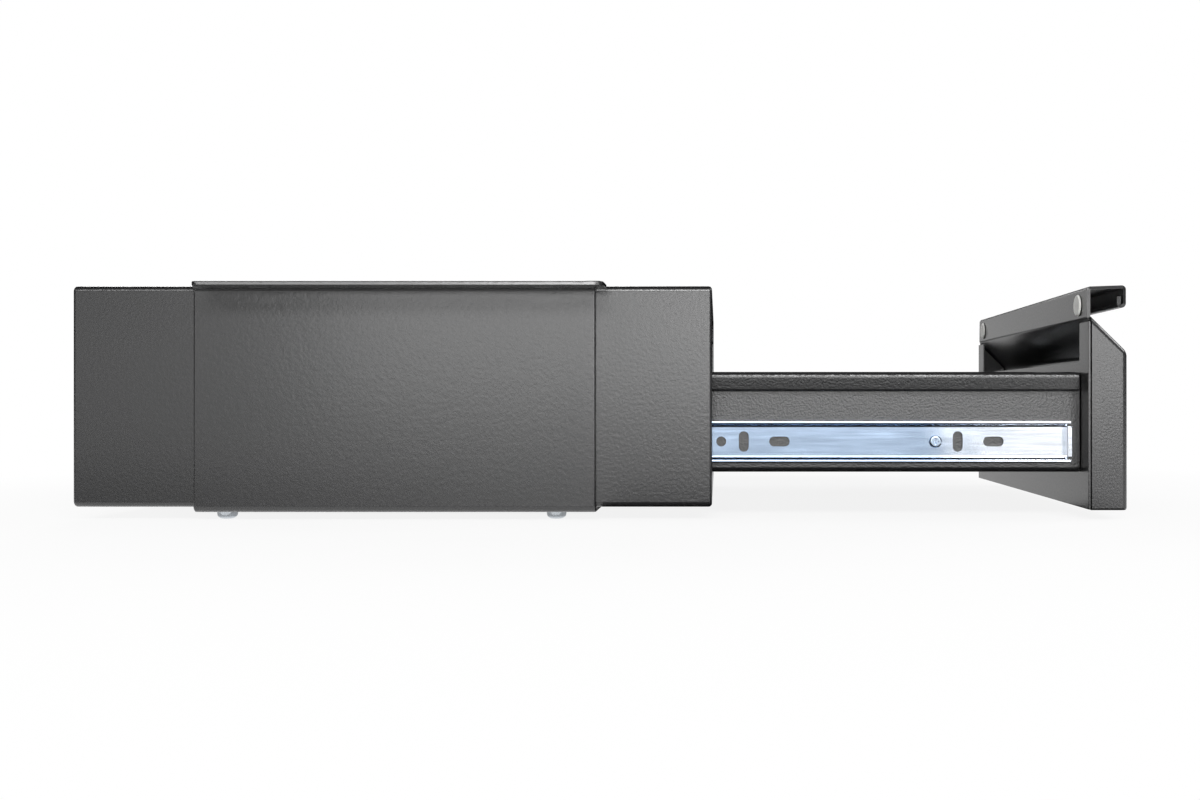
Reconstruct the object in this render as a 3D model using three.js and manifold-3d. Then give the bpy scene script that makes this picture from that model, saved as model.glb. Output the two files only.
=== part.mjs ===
// Under desk drawer safe: a steel case in a screw-on bracket, with a drawer on two ball slides
// and a mechanical push button lock. Millimetres, +Z up, the drawer opens towards +X and is
// drawn open. The origin is on the surface that the safe stands on, under the middle of its box.
import * as THREE from "three";
import { mergeVertices } from "three/addons/utils/BufferGeometryUtils.js";
import Module from "manifold-3d";

const wasm = await Module();
wasm.setup();

// Clearances between pieces
const seat = 0.3; // between two pieces that lie against each other
const boreGap = 0.3; // round a screw in its clearance hole
const shaftGap = 0.15; // round a turning or sliding shaft
const slideGap = 0.5; // round a piece that slides in a guide
const past = 1; // how far a cutting solid runs past what it cuts

// Case: a folded sheet wrap, a rear pan and a frame round the mouth
const caseWidth = 228;
const caseHeight = 96.9;
const wall = 1.9; // sheet of the case and of the bracket
const caseBend = 2.5; // outer radius of the case's folded edges
const rearLip = 12; // depth of the rear pan's flanges
const rearRoom = 11.7; // from the slides' rear ends back to the rear pan's flanges
const innerCorner = 1; // corner radius of the rear pan and of the frame round the mouth
const mouthTop = 12; // height of the frame's upper strip
const mouthBottomGap = 2; // from the frame's lower strip up to the tray
const mouthSide = 1.8; // width of the frame's side strips

// Bracket: a cradle under the case, with an outward flange along each side for the desk
const bracketLength = 176.4;
const bracketSetback = 51.1; // from the case's front to the cradle's front
const flangeReach = 18; // how far a flange stands out from the cradle
const flangeForward = 5; // how far a flange starts in front of the cradle
const flangeRearRelief = 6; // how far a flange ends before the cradle's rear
const flangeCorner = 3; // corner radius of a flange
const deskClearance = 1.2; // from the case's top up to the desk
const foldInside = 1.2; // inner radius of the folds in the heavy sheet
const deskSlotLength = 12;
const deskSlotWidth = 5.4;
const deskSlotInset = 26; // from a flange's end to the middle of its slot

// Screws that join the bracket and the case, with their nuts
const screwRadius = 2.5;
const headRadius = 4.7;
const headHeight = 3.6;
const headDome = 1.2; // how far the head's edge is rounded off
const screwInset = 10; // from the case's side to a screw
const screwFrontInset = 18.6; // from the cradle's front to the front screws
const screwRearInset = 10.3; // from the cradle's rear to the rear screws
const screwBeyondNut = 1.8;
const nutAcrossFlats = 8;
const nutHeight = 4;

// Drawer
const traySheet = 1.2;
const trayBeyondSlide = 15.3; // how far the tray runs on behind the slides
const trayHeight = 45;
const trayLipReach = 5.5; // how far the tray's side lips stand out
const trayLipDrop = 7.3; // height of a lip's outer face
const trayLipSetback = 1.7; // from the tray's front wall to the lips' front ends
const trayBend = 1.2; // inner radius of the tray's folds
const trayAboveCase = 14.8; // from the case's outer bottom up to the tray's
const foamThickness = 5;
const foamSideGap = 0.8;
const foamFrontGap = 16; // from the front's rear plane to the foam
const foamRearGap = 2.4;
const foamCorner = 3;

// Ball slides: a cabinet member, a ball retainer and a drawer member on each side
const slideDepth = 10; // from the case's wall to the tray's wall
const slideSheet = 1.2;
const slideLength = 250;
const slideOverlap = 86.3; // of the two members when the drawer is open
const cabinetHeight = 27;
const cabinetFlange = 8; // how far its flanges reach from the case's wall
const cabinetLip = 0.9; // how far the lips at its flange edges turn in
const cabinetSetback = 6; // from the case's front to the member
const drawerMemberHeight = 18.4;
const drawerMemberFlange = 7; // how far its flanges stand out from the tray's wall
const drawerMemberSetback = 4.7; // from the front's rear plane to the member
const slideAboveTray = 13.8; // from the tray's bottom up to the slide's middle
const stopTabHeight = 14;
const stopTabReach = 4.4;
const stopLugHeight = 6;
const stopLugReach = 1.4; // cabinet member's stop, out from its web
const retainerSheet = 0.7;
const ballRadius = 1.5;
const ballsPerRow = 6;
const slotWidth = 4.5;
const slotLength = 9.2;
const holePitch = 96; // from one group of holes to the next
const flatSlotSetback = 34.9; // from the member's front to the first lengthwise slot
const uprightSlotBehind = 16; // from the lengthwise slot to the upright one
const roundHoleBehind = 10.1; // from the upright slot to the round hole
const slideScrewRadius = 1.5;
const slideScrewHead = 2.8;
const slideScrewHeadHeight = 1.3;
const slideScrewRearInset = 29; // from the drawer member's rear end to its rear screw
const slideScrewEnd = 1.6; // how far it stands out inside the tray

// Front: a folded shell with a finger pull along its top, closed behind by a pan
const frontDepth = 17.5;
const frontSheet = 1.5;
const panSheet = 1.2;
const frontAboveCase = -1.4; // from the case's bottom up to the front's
const faceHeight = 70.6;
const slopeRise = 14.6; // height of the sloped face above the upright one
const pullBackRise = 13.8; // height of the finger pull's rear wall
const pullTopRise = 0.5; // how much the pull's top climbs to the front
const pullLip = 9.5; // height of the pull's front lip
const hemHeight = 5; // height of the lip's folded-in edge
const hemSlack = 0.2; // flat stretch between the two folds of the hem
const frontFold = 0.4; // inner radius of the front's folds
const faceCorner = 2.2; // radius of the upright folds at the face's ends
const endInset = 0.4; // from the sheet's ends in to the end plates
const panPostWidth = 13.6;
const panMiddleHeight = 65.4; // of the pan between its posts
const panPostHeight = 83;
const panFlange = 10;
const bumperRadius = 5;
const bumperThickness = 1.5;
const bumperInset = 15; // from the front's end to a bumper's middle
const bumperDrop = 7.7; // from the pull's top down to a bumper's middle

// Lock: five push buttons and a turning knob in a plate, a chamber behind the face, and a
// bolt that drops behind the frame's lower strip
const plateLength = 118;
const plateHeight = 44;
const plateThickness = 3;
const plateCorner = 10;
const lockRise = 35.6; // from the front's bottom up to the lock's middle
const buttonCount = 5;
const buttonPitch = 14;
const firstButton = -46; // place of the first button across the front
const buttonRadius = 4.6;
const buttonProud = 4;
const buttonTravel = 2;
const stemRadius = 2;
const collarRadius = 4;
const collarThickness = 1.2;
const stemLength = 14.5; // from the plate's face back to the stem's end
const knobAcross = 36; // place of the knob across the front
const knobRadius = 15;
const knobBase = 5;
const knobGripWidth = 9;
const knobGripReach = 15;
const knobGripInset = 1; // from the knob's rim to the grip's ends
const knobGripCorner = 2;
const knobSocket = 12;
const spindleRadius = 4;
const spindleRoom = 2; // round the spindle in the pan and in the tray
const crankRadius = 11;
const crankThickness = 2;
const crankPinRadius = 2;
const boltThrow = 9.9;
const boltThickness = 3;
const boltWidth = 24;
const boltHeight = 38;
const boltPinWall = 2; // metal beyond the ends of the bolt's slot
const boltCoverWall = 1.2;
const boltCoverFoot = 7;
const chamberWall = 1.5;
const chamberHeight = 34;
const chamberEndMargin = 9; // from the outermost button or knob axis to the chamber's end
const chamberCover = 1.5;
const lockScrewRadius = 1.5;
const lockScrewHead = 2.8;
const lockBossRadius = 3.3; // of the chamber's screw posts, which run into its walls
const plateSkin = 1; // metal left between a screw's bore and the plate's face
const springWire = 0.6;
const springTurns = 4;
const coverScrewHeadHeight = 1.4;

// How finely round shapes are cut into flats
const roundSides = 20;
const smallSides = 10;
const bendSteps = 3;
const springSteps = 8;
const springSides = 4;
const ballSides = 6;
const ballRings = 4;
const domeSteps = 2;
const slotSteps = 4;
const plateSteps = 5;
const slotFullness = 0.999; // of half a slot's width, so that no two points of its ends meet

// Places worked out from the sizes above. Heights are from the surface the safe stands on,
// lengths from the case's front plane.
const uprightSlotSetback = flatSlotSetback + uprightSlotBehind;
const roundHoleSetback = uprightSlotSetback + roundHoleBehind;
const drawerTravel = slideLength - slideOverlap;
const caseLength = cabinetSetback + slideLength + rearRoom + rearLip + wall;
const trayLength = drawerMemberSetback + slideLength + trayBeyondSlide;
const bracketFloor = headHeight;
const caseBottom = bracketFloor + wall + seat;
const caseTop = caseBottom + caseHeight;
const caseInner = caseWidth / 2 - wall;
const deskPlane = caseTop + deskClearance;
const cradleInner = caseWidth / 2 + seat;
const cradleOuter = cradleInner + wall;
const cradleFront = -bracketSetback;
const cradleRear = cradleFront - bracketLength;
const flangeFront = cradleFront + flangeForward;
const flangeRear = cradleRear + flangeRearRelief;
const flangeTip = cradleOuter + flangeReach;
const trayBottom = caseBottom + trayAboveCase;
const trayTop = trayBottom + trayHeight;
const trayOuter = caseInner - slideDepth;
const trayInner = trayOuter - traySheet;
const slideMiddle = trayBottom + slideAboveTray;
const bumperRear = bumperThickness + seat;
const frontClosed = bumperRear + seat; // the front's rear plane when the drawer is shut
const frontOpen = frontClosed + drawerTravel;
const frontBottom = caseBottom + frontAboveCase;
const faceTop = frontBottom + faceHeight;
const slopeTop = faceTop + slopeRise;
const pullTop = slopeTop + pullBackRise;
const trayFront = -seat;
const trayRear = -trayLength;
const lockHeight = frontBottom + lockRise;
const faceInner = frontDepth - frontSheet;
const plateBack = frontDepth + seat;
const plateFace = plateBack + plateThickness;
const chamberFront = faceInner - seat;
const coverBack = panSheet + seat;
const chamberBack = coverBack + chamberCover + seat;
const buttonPlaces = Array.from({ length: buttonCount }, (_, i) => firstButton + i * buttonPitch);
const chamberLeft = firstButton - chamberEndMargin;
const chamberRight = knobAcross + chamberEndMargin;
const crankArm = boltThrow / Math.SQRT2;

const paint = { color: 0x3b3c3e, roughness: 0.5, metalness: 0.2 };
const zinc = { color: 0xc4ced8, roughness: 0.3, metalness: 1 };
const steel = { color: 0x9a9ca0, roughness: 0.35, metalness: 1 };
const chrome = { color: 0xd9dcdf, roughness: 0.12, metalness: 1 };
const silicone = { color: 0xd2d2cf, roughness: 0.4, metalness: 0 };
const foam = { color: 0x26272a, roughness: 0.95, metalness: 0 };
const plateFinish = { color: 0x202123, roughness: 0.35, metalness: 0.4 };

// Solids. A geometry becomes a manifold once its shared vertices are merged.
function solid(geometry) {
  geometry.deleteAttribute("normal");
  geometry.deleteAttribute("uv");
  const merged = mergeVertices(geometry, 1e-4);
  return new wasm.Manifold(
    new wasm.Mesh({
      numProp: 3,
      vertProperties: new Float32Array(merged.attributes.position.array),
      triVerts: new Uint32Array(merged.index.array),
    }),
  );
}

function box(x0, x1, y0, y1, z0, z1) {
  const geometry = new THREE.BoxGeometry(x1 - x0, y1 - y0, z1 - z0);
  return solid(geometry.translate((x0 + x1) / 2, (y0 + y1) / 2, (z0 + z1) / 2));
}

function inOrder(a, b) {
  return a < b ? [a, b] : [b, a];
}

function joined(solids) {
  return solids.reduce((sum, next) => sum.add(next));
}

function cutFrom(body, solids) {
  return solids.reduce((rest, next) => rest.subtract(next), body);
}

// An outline of [a, b] points, pushed along an axis from one place to another. Along x the
// outline lies in y and z, along y in x and z, and along z in x and y.
const pushed = {
  x: (from) => new THREE.Matrix4().set(0, 0, 1, from, 1, 0, 0, 0, 0, 1, 0, 0, 0, 0, 0, 1),
  y: (from, to) => new THREE.Matrix4().set(1, 0, 0, 0, 0, 0, -1, to, 0, 1, 0, 0, 0, 0, 0, 1),
  z: (from) => new THREE.Matrix4().makeTranslation(0, 0, from),
};

function prism(axis, outline, from, to, holes = []) {
  const shape = new THREE.Shape(outline.map(([a, b]) => new THREE.Vector2(a, b)));
  shape.holes = holes.map((hole) => new THREE.Path(hole.map(([a, b]) => new THREE.Vector2(a, b))));
  const geometry = new THREE.ExtrudeGeometry(shape, { depth: to - from, bevelEnabled: false });
  return solid(geometry.applyMatrix4(pushed[axis](from, to)));
}

function circle(a, b, radius, sides = roundSides) {
  return Array.from({ length: sides }, (_, i) => {
    const angle = ((i + 0.5) * 2 * Math.PI) / sides;
    return [a + radius * Math.cos(angle), b + radius * Math.sin(angle)];
  });
}

function rod(axis, a, b, radius, from, to, sides = roundSides) {
  return prism(axis, circle(a, b, radius, sides), from, to);
}

// A rectangle with rounded corners; with a radius of half its width it is a slot.
function roundedRectangle(a0, a1, b0, b1, radius, steps = bendSteps) {
  const corners = [
    [a1 - radius, b1 - radius],
    [a0 + radius, b1 - radius],
    [a0 + radius, b0 + radius],
    [a1 - radius, b0 + radius],
  ];
  return corners.flatMap(([a, b], corner) =>
    Array.from({ length: steps + 1 }, (_, i) => {
      const angle = ((corner + i / steps) * Math.PI) / 2;
      return [a + radius * Math.cos(angle), b + radius * Math.sin(angle)];
    }),
  );
}

function slot(a, b, length, width) {
  const [wide, high] = [length / 2, width / 2];
  const radius = Math.min(wide, high) * slotFullness;
  return roundedRectangle(a - wide, a + wide, b - high, b + high, radius, slotSteps);
}

// The outline of a sheet that is folded along a centre line, with its inner bend radius.
function foldedSheet(corners, thickness, inside) {
  const half = thickness / 2;
  const radius = inside + half;
  const points = corners.map(([a, b]) => new THREE.Vector2(a, b));
  const left = [];
  const right = [];
  const mark = (place, normal) => {
    left.push(place.clone().addScaledVector(normal, half));
    right.unshift(place.clone().addScaledVector(normal, -half));
  };
  const along = (i) => points[i + 1].clone().sub(points[i]).normalize();
  const normalOf = (direction) => new THREE.Vector2(-direction.y, direction.x);
  mark(points[0], normalOf(along(0)));
  for (let i = 1; i < points.length - 1; i++) {
    const [before, after] = [along(i - 1), along(i)];
    const turn = Math.atan2(before.cross(after), before.dot(after));
    const side = Math.sign(turn);
    const start = points[i].clone().addScaledVector(before, -radius * Math.tan(Math.abs(turn) / 2));
    const centre = start.clone().addScaledVector(normalOf(before), side * radius);
    for (let k = 0; k <= bendSteps; k++) {
      const normal = normalOf(before).rotateAround(new THREE.Vector2(), (turn * k) / bendSteps);
      mark(centre.clone().addScaledVector(normal, -side * radius), normal);
    }
  }
  mark(points.at(-1), normalOf(along(points.length - 2)));
  return [...left, ...right].map((p) => [p.x, p.y]);
}

const safe = new THREE.Group();
const housing = new THREE.Group();
const drawer = new THREE.Group();
drawer.position.x = frontOpen;
housing.add(drawer);
safe.add(housing);

function add(parent, name, body, finish) {
  const mesh = body.getMesh();
  const geometry = new THREE.BufferGeometry();
  geometry.setAttribute("position", new THREE.BufferAttribute(mesh.vertProperties, 3));
  geometry.setIndex(new THREE.BufferAttribute(mesh.triVerts, 1));
  geometry.computeVertexNormals();
  const piece = new THREE.Mesh(geometry, new THREE.MeshStandardMaterial(finish));
  piece.name = name;
  parent.add(piece);
  return piece;
}

const sides = [
  { name: "near", sign: -1 },
  { name: "far", sign: 1 },
];
const ends = [
  { name: "front", place: cradleFront - screwFrontInset },
  { name: "rear", place: cradleRear + screwRearInset },
];

function bracketScrewHoles(from, to) {
  return ends.flatMap(({ place }) =>
    sides.map(({ sign }) =>
      rod("z", place, sign * (caseWidth / 2 - screwInset), screwRadius + boreGap, from, to),
    ),
  );
}

// Case
function caseWrap() {
  const half = caseWidth / 2;
  const outer = roundedRectangle(-half, half, caseBottom, caseTop, caseBend);
  const inner = roundedRectangle(
    -caseInner,
    caseInner,
    caseBottom + wall,
    caseTop - wall,
    caseBend - wall,
  );
  const wrap = prism("x", outer, -caseLength, 0, [inner]);
  return cutFrom(wrap, bracketScrewHoles(caseBottom - past, caseBottom + wall + past));
}

function rearPan() {
  const half = caseInner - seat;
  const bottom = caseBottom + wall + seat;
  const top = caseTop - wall - seat;
  const front = -caseLength + wall + rearLip;
  const outline = roundedRectangle(-half, half, bottom, top, innerCorner);
  const inside = box(
    -caseLength + wall,
    front + past,
    -half + wall,
    half - wall,
    bottom + wall,
    top - wall,
  );
  return prism("x", outline, -caseLength, front).subtract(inside);
}

function mouthFrame() {
  const half = caseInner - seat;
  const bottom = caseBottom + wall + seat;
  const top = caseTop - wall - seat;
  const opening = roundedRectangle(
    -half + mouthSide,
    half - mouthSide,
    trayBottom - mouthBottomGap,
    top - mouthTop,
    innerCorner,
  );
  const outline = roundedRectangle(-half, half, bottom, top, innerCorner);
  return prism("x", outline, -wall, 0, [opening]);
}

add(housing, "case_wrap", caseWrap(), paint);
add(housing, "case_rear_panel", rearPan(), paint);
add(housing, "mouth_frame", mouthFrame(), paint);

// Bracket
function bracket() {
  const web = cradleInner + wall / 2;
  const floor = bracketFloor + wall / 2;
  const flange = deskPlane - wall / 2;
  const section = foldedSheet(
    [
      [-flangeTip, flange],
      [-web, flange],
      [-web, floor],
      [web, floor],
      [web, flange],
      [flangeTip, flange],
    ],
    wall,
    foldInside,
  );
  const full = prism("x", section, cradleRear, flangeFront);
  const foldOuter = cradleInner + wall + foldInside;
  const [under, over] = [flange - wall, deskPlane + past];
  const cradleCut = box(cradleFront, flangeFront + past, -foldOuter, foldOuter, 0, over);
  const slotMiddle = (foldOuter + flangeTip) / 2;
  const flangeCuts = sides.flatMap(({ sign }) => {
    const [inner, outer] = inOrder(sign * foldOuter, sign * (flangeTip + past));
    const relief = box(cradleRear - past, flangeRear, inner, outer, under, over);
    const slots = [flangeRear + deskSlotInset, flangeFront - deskSlotInset].map((place) =>
      prism("z", slot(place, sign * slotMiddle, deskSlotLength, deskSlotWidth), under, over),
    );
    const corners = [
      cornerCutter(flangeRear, sign * flangeTip, 1, -sign, flangeCorner, under, over),
      cornerCutter(flangeFront, sign * flangeTip, -1, -sign, flangeCorner, under, over),
    ];
    return [relief, ...slots, ...corners];
  });
  const holes = bracketScrewHoles(bracketFloor - past, caseBottom);
  return cutFrom(full, [cradleCut, ...flangeCuts, ...holes]);
}

// What is taken off an upright corner at (x, y) to round it. The two signs point inwards.
function cornerCutter(x, y, signX, signY, radius, from, to) {
  const arc = Array.from({ length: bendSteps + 1 }, (_, i) => {
    const angle = (i / bendSteps) * (Math.PI / 2);
    return [x + signX * radius * (1 - Math.sin(angle)), y + signY * radius * (1 - Math.cos(angle))];
  });
  const outline = [
    [x - signX, y - signY],
    [x + signX * radius, y - signY],
    ...arc,
    [x - signX, y + signY * radius],
  ];
  return prism("z", outline, from, to);
}

add(housing, "mounting_bracket", bracket(), paint);

function panHeadScrew() {
  const dome = Array.from({ length: domeSteps + 1 }, (_, i) => {
    const angle = (i / domeSteps) * (Math.PI / 2);
    return [headRadius - headDome * (1 - Math.cos(angle)), headDome * (1 - Math.sin(angle))];
  }).reverse();
  const under = bracketFloor - seat / 2;
  const top = caseBottom + wall + seat + nutHeight + screwBeyondNut;
  const shank = [
    [screwRadius, under],
    [screwRadius, top],
    [0, top],
  ];
  const profile = [[0, 0], ...dome, [headRadius, under], ...shank];
  const points = profile.map(([r, z]) => new THREE.Vector2(r, z));
  return solid(new THREE.LatheGeometry(points, roundSides).rotateX(Math.PI / 2));
}

function hexNut(x, y) {
  const bottom = caseBottom + wall + seat;
  const hexagon = circle(x, y, nutAcrossFlats / 2 / Math.cos(Math.PI / 6), 6);
  return prism("z", hexagon, bottom, bottom + nutHeight, [circle(x, y, screwRadius + shaftGap)]);
}

for (const { name: end, place } of ends) {
  for (const { name: side, sign } of sides) {
    const across = sign * (caseWidth / 2 - screwInset);
    add(housing, `bracket_screw_${end}_${side}`, panHeadScrew(), zinc).position.set(place, across, 0);
    add(housing, `bracket_nut_${end}_${side}`, hexNut(place, across), zinc);
  }
}

// Ball slides. A member's outline is drawn for the near side, with a depth from the case's
// wall and a height from the slide's middle, and mirrored for the far side.
function slideSection(sign, outline) {
  return outline.map(([depth, height]) => [sign * (caseInner - depth), slideMiddle + height]);
}

function channel(depth0, depth1, height, sheet, lip) {
  const half = height / 2;
  const upper = [
    [depth1, half],
    [depth1, half - sheet - lip],
    [depth1 - sheet, half - sheet - lip],
    [depth1 - sheet, half - sheet],
    [depth0 + sheet, half - sheet],
  ];
  const lower = upper.map(([depth, z]) => [depth, -z]).reverse();
  return [[depth0, half], ...upper, ...lower, [depth0, -half]];
}

function cabinetMember(sign) {
  const rear = -cabinetSetback - slideLength;
  const outline = channel(seat, cabinetFlange, cabinetHeight, slideSheet, cabinetLip);
  const lug = slideSection(sign, [
    [slideSheet, stopLugHeight / 2],
    [seat + slideSheet + stopLugReach, stopLugHeight / 2],
    [seat + slideSheet + stopLugReach, -stopLugHeight / 2],
    [slideSheet, -stopLugHeight / 2],
  ]);
  return prism("x", slideSection(sign, outline), rear, -cabinetSetback).add(
    prism("x", lug, -cabinetSetback - slideSheet, -cabinetSetback),
  );
}

function memberHoles(sign, front, groups) {
  const [y0, y1] = inOrder(sign * (trayOuter - past), sign * caseInner);
  const shapes = Array.from({ length: groups }, (_, group) => {
    const shift = front - group * holePitch;
    return [
      slot(shift - flatSlotSetback, slideMiddle, slotLength, slotWidth),
      slot(shift - uprightSlotSetback, slideMiddle, slotWidth, slotLength),
      circle(shift - roundHoleSetback, slideMiddle, slotWidth / 2, smallSides),
    ];
  }).flat();
  return shapes.map((shape) => prism("y", shape, y0, y1));
}

function drawerMember(sign) {
  const front = -drawerMemberSetback;
  const rear = front - slideLength;
  const web = slideDepth - seat;
  const edge = slideDepth - drawerMemberFlange;
  const half = drawerMemberHeight / 2;
  const upper = [
    [web, half],
    [edge, half],
    [edge, half - slideSheet],
    [web - slideSheet, half - slideSheet],
  ];
  const lower = upper.map(([depth, z]) => [depth, -z]).reverse();
  const body = prism("x", slideSection(sign, [...upper, ...lower]), rear, front);
  const upright = (reach, height, from, to) => {
    const bar = slideSection(sign, [
      [web - slideSheet / 2, height / 2],
      [web - slideSheet - reach, height / 2],
      [web - slideSheet - reach, -height / 2],
      [web - slideSheet / 2, -height / 2],
    ]);
    return prism("x", bar, from, to);
  };
  const lugReach = web - slideSheet - seat - slideSheet - seat;
  return cutFrom(
    joined([
      body,
      upright(stopTabReach, stopTabHeight, front - slideSheet, front),
      upright(lugReach, stopLugHeight, rear, rear + slideSheet),
    ]),
    memberHoles(sign, front, 2),
  );
}

// The retainer fills the length between the two stops when the drawer is open.
const retainerFront = -cabinetSetback - slideSheet - slideGap;
const retainerRear = frontOpen - drawerMemberSetback - slideLength + slideSheet + slideGap;
const raceOuter = cabinetHeight / 2 - slideSheet;
const raceInner = drawerMemberHeight / 2;
const ballRow = (raceOuter + raceInner) / 2;
const ballDepth = (slideSheet + seat + cabinetFlange) / 2 + seat;

function ballRetainer(sign) {
  const web0 = seat + slideSheet + seat;
  const web1 = web0 + retainerSheet;
  const tip = cabinetFlange - slideSheet - seat;
  const upper = [
    [web0, ballRow + retainerSheet / 2],
    [tip, ballRow + retainerSheet / 2],
    [tip, ballRow - retainerSheet / 2],
    [web1, ballRow - retainerSheet / 2],
  ];
  const lower = upper.map(([depth, z]) => [depth, -z]).reverse();
  const cage = prism("x", slideSection(sign, [...upper, ...lower]), retainerRear, retainerFront);
  const spacing = (retainerFront - retainerRear) / ballsPerRow;
  const balls = [];
  for (let i = 0; i < ballsPerRow; i++) {
    for (const row of [ballRow, -ballRow]) {
      const ball = new THREE.SphereGeometry(ballRadius, ballSides, ballRings);
      const place = retainerRear + (i + 0.5) * spacing;
      balls.push(solid(ball.translate(place, sign * (caseInner - ballDepth), slideMiddle + row)));
    }
  }
  return joined([cage, ...balls]);
}

function slideScrew(sign, place) {
  const head = sign * (caseInner - (slideDepth - seat - slideSheet - seat));
  const headTop = head + sign * slideScrewHeadHeight;
  const end = sign * (trayInner - slideScrewEnd);
  const [h0, h1] = inOrder(head, headTop);
  const [s0, s1] = inOrder(end, head);
  return rod("y", place, slideMiddle, slideScrewHead, h0, h1, smallSides).add(
    rod("y", place, slideMiddle, slideScrewRadius, s0, s1, smallSides),
  );
}

const slideScrewPlaces = [
  { name: "front", place: -drawerMemberSetback - roundHoleSetback },
  { name: "rear", place: -drawerMemberSetback - slideLength + slideScrewRearInset },
];

for (const { name, sign } of sides) {
  add(housing, `slide_cabinet_member_${name}`, cabinetMember(sign), zinc);
  add(housing, `ball_retainer_${name}`, ballRetainer(sign), steel);
  const screwHoles = slideScrewPlaces.map(({ place }) =>
    prism(
      "y",
      circle(place, slideMiddle, slideScrewRadius + boreGap, smallSides),
      ...inOrder(0, sign * caseInner),
    ),
  );
  add(drawer, `slide_drawer_member_${name}`, cutFrom(drawerMember(sign), screwHoles), zinc);
  for (const { name: end, place } of slideScrewPlaces) {
    add(drawer, `slide_screw_${end}_${name}`, slideScrew(sign, place), zinc);
  }
}

// Tray. Lengths from here on are from the front's rear plane, which rides on the drawer.
const boltCoverHalf = boltWidth / 2 + slideGap + boltCoverWall;
const crankBack = trayFront - traySheet - seat;
const boltFront = crankBack - crankThickness - slideGap;
const boltBack = boltFront - boltThickness;
const coverInside = boltBack - slideGap;

function tray() {
  const side = trayOuter - traySheet / 2;
  const lip = trayOuter + trayLipReach - traySheet / 2;
  const top = trayTop - traySheet / 2;
  const floor = trayBottom + traySheet / 2;
  const near = [
    [-lip, trayTop - trayLipDrop],
    [-lip, top],
    [-side, top],
    [-side, floor],
  ];
  const far = near.map(([y, z]) => [-y, z]).reverse();
  const section = foldedSheet([...near, ...far], traySheet, trayBend);
  const wallOutline = roundedRectangle(
    -trayOuter + traySheet / 2,
    trayOuter - traySheet / 2,
    trayBottom + traySheet / 2,
    trayTop,
    trayBend,
  );
  const [front0, front1] = [trayFront - traySheet - past, trayFront + past];
  const parts = [
    prism("x", section, trayRear, trayFront),
    prism("x", wallOutline, trayRear, trayRear + traySheet),
    prism("x", wallOutline, trayFront - traySheet, trayFront),
  ];
  const boltSlot = box(
    boltBack - slideGap,
    boltFront + slideGap,
    knobAcross - boltWidth / 2 - slideGap,
    knobAcross + boltWidth / 2 + slideGap,
    trayBottom - past,
    trayBottom + traySheet + past,
  );
  const spindleHole = rod("x", knobAcross, lockHeight, spindleRadius + spindleRoom, front0, front1);
  const screwHoles = slideScrewPlaces.map(({ place }) =>
    rod("y", place, slideMiddle, slideScrewRadius + shaftGap, -caseInner, caseInner, smallSides),
  );
  const coverHoles = coverScrewPlaces().map(([y, z]) =>
    rod("x", y, z, lockScrewRadius + shaftGap, front0, front1, smallSides),
  );
  const lipCuts = sides.map(({ sign }) => {
    const [y0, y1] = inOrder(sign * trayOuter, sign * (trayOuter + trayLipReach + past));
    return box(trayFront - trayLipSetback, trayFront + past, y0, y1, trayBottom, trayTop + past);
  });
  return cutFrom(joined(parts), [...lipCuts, boltSlot, spindleHole, ...screwHoles, ...coverHoles]);
}

function trayFoam() {
  const half = trayInner - foamSideGap;
  const bottom = trayBottom + traySheet + seat;
  const rear = trayRear + traySheet + foamRearGap;
  const outline = roundedRectangle(rear, -foamFrontGap, -half, half, foamCorner);
  return prism("z", outline, bottom, bottom + foamThickness);
}

function coverScrewPlaces() {
  const across = boltCoverHalf + boltCoverFoot / 2;
  return [
    [knobAcross - across, lockHeight],
    [knobAcross + across, lockHeight],
  ];
}

add(drawer, "drawer_tray", tray(), paint);
add(drawer, "tray_foam", trayFoam(), foam);

// Front
function frontShell() {
  const half = frontSheet / 2;
  const face = frontDepth - half;
  const hem = face - frontSheet - 2 * frontFold - hemSlack;
  const section = foldedSheet(
    [
      [panSheet + seat, frontBottom + half],
      [face, frontBottom + half],
      [face, faceTop],
      [half, slopeTop],
      [half, pullTop - half - pullTopRise],
      [face, pullTop - half],
      [face, pullTop - pullLip + half],
      [hem, pullTop - pullLip + half],
      [hem, pullTop - pullLip + hemHeight],
    ],
    frontSheet,
    frontFold,
  );
  const end = caseWidth / 2;
  const shell = prism("y", section, -end, end);
  const rear = panSheet + seat;
  const endOutline = [
    [rear, frontBottom + half],
    [face, frontBottom + half],
    [face, faceTop],
    [rear, slopeTop - (slopeRise * (rear - half)) / (face - half)],
  ];
  const endPlates = sides.map(({ sign }) => {
    const [y0, y1] = inOrder(sign * (end - endInset - frontSheet), sign * (end - endInset));
    return prism("y", endOutline, y0, y1);
  });
  const corners = sides.map(({ sign }) =>
    cornerCutter(frontDepth, sign * end, -1, -sign, faceCorner, frontBottom - past, faceTop),
  );
  const [x0, x1] = [faceInner - past, frontDepth + past];
  const buttonHoles = buttonPlaces.map((y) =>
    rod("x", y, lockHeight, stemRadius + boreGap, x0, x1, smallSides),
  );
  const spindleHole = rod("x", knobAcross, lockHeight, spindleRadius + boreGap, x0, x1);
  const screwHoles = lockScrewPlaces().map(([y, z]) =>
    rod("x", y, z, lockScrewRadius + boreGap, x0, x1, smallSides),
  );
  return cutFrom(joined([shell, ...endPlates]), [...corners, ...buttonHoles, spindleHole, ...screwHoles]);
}

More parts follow.
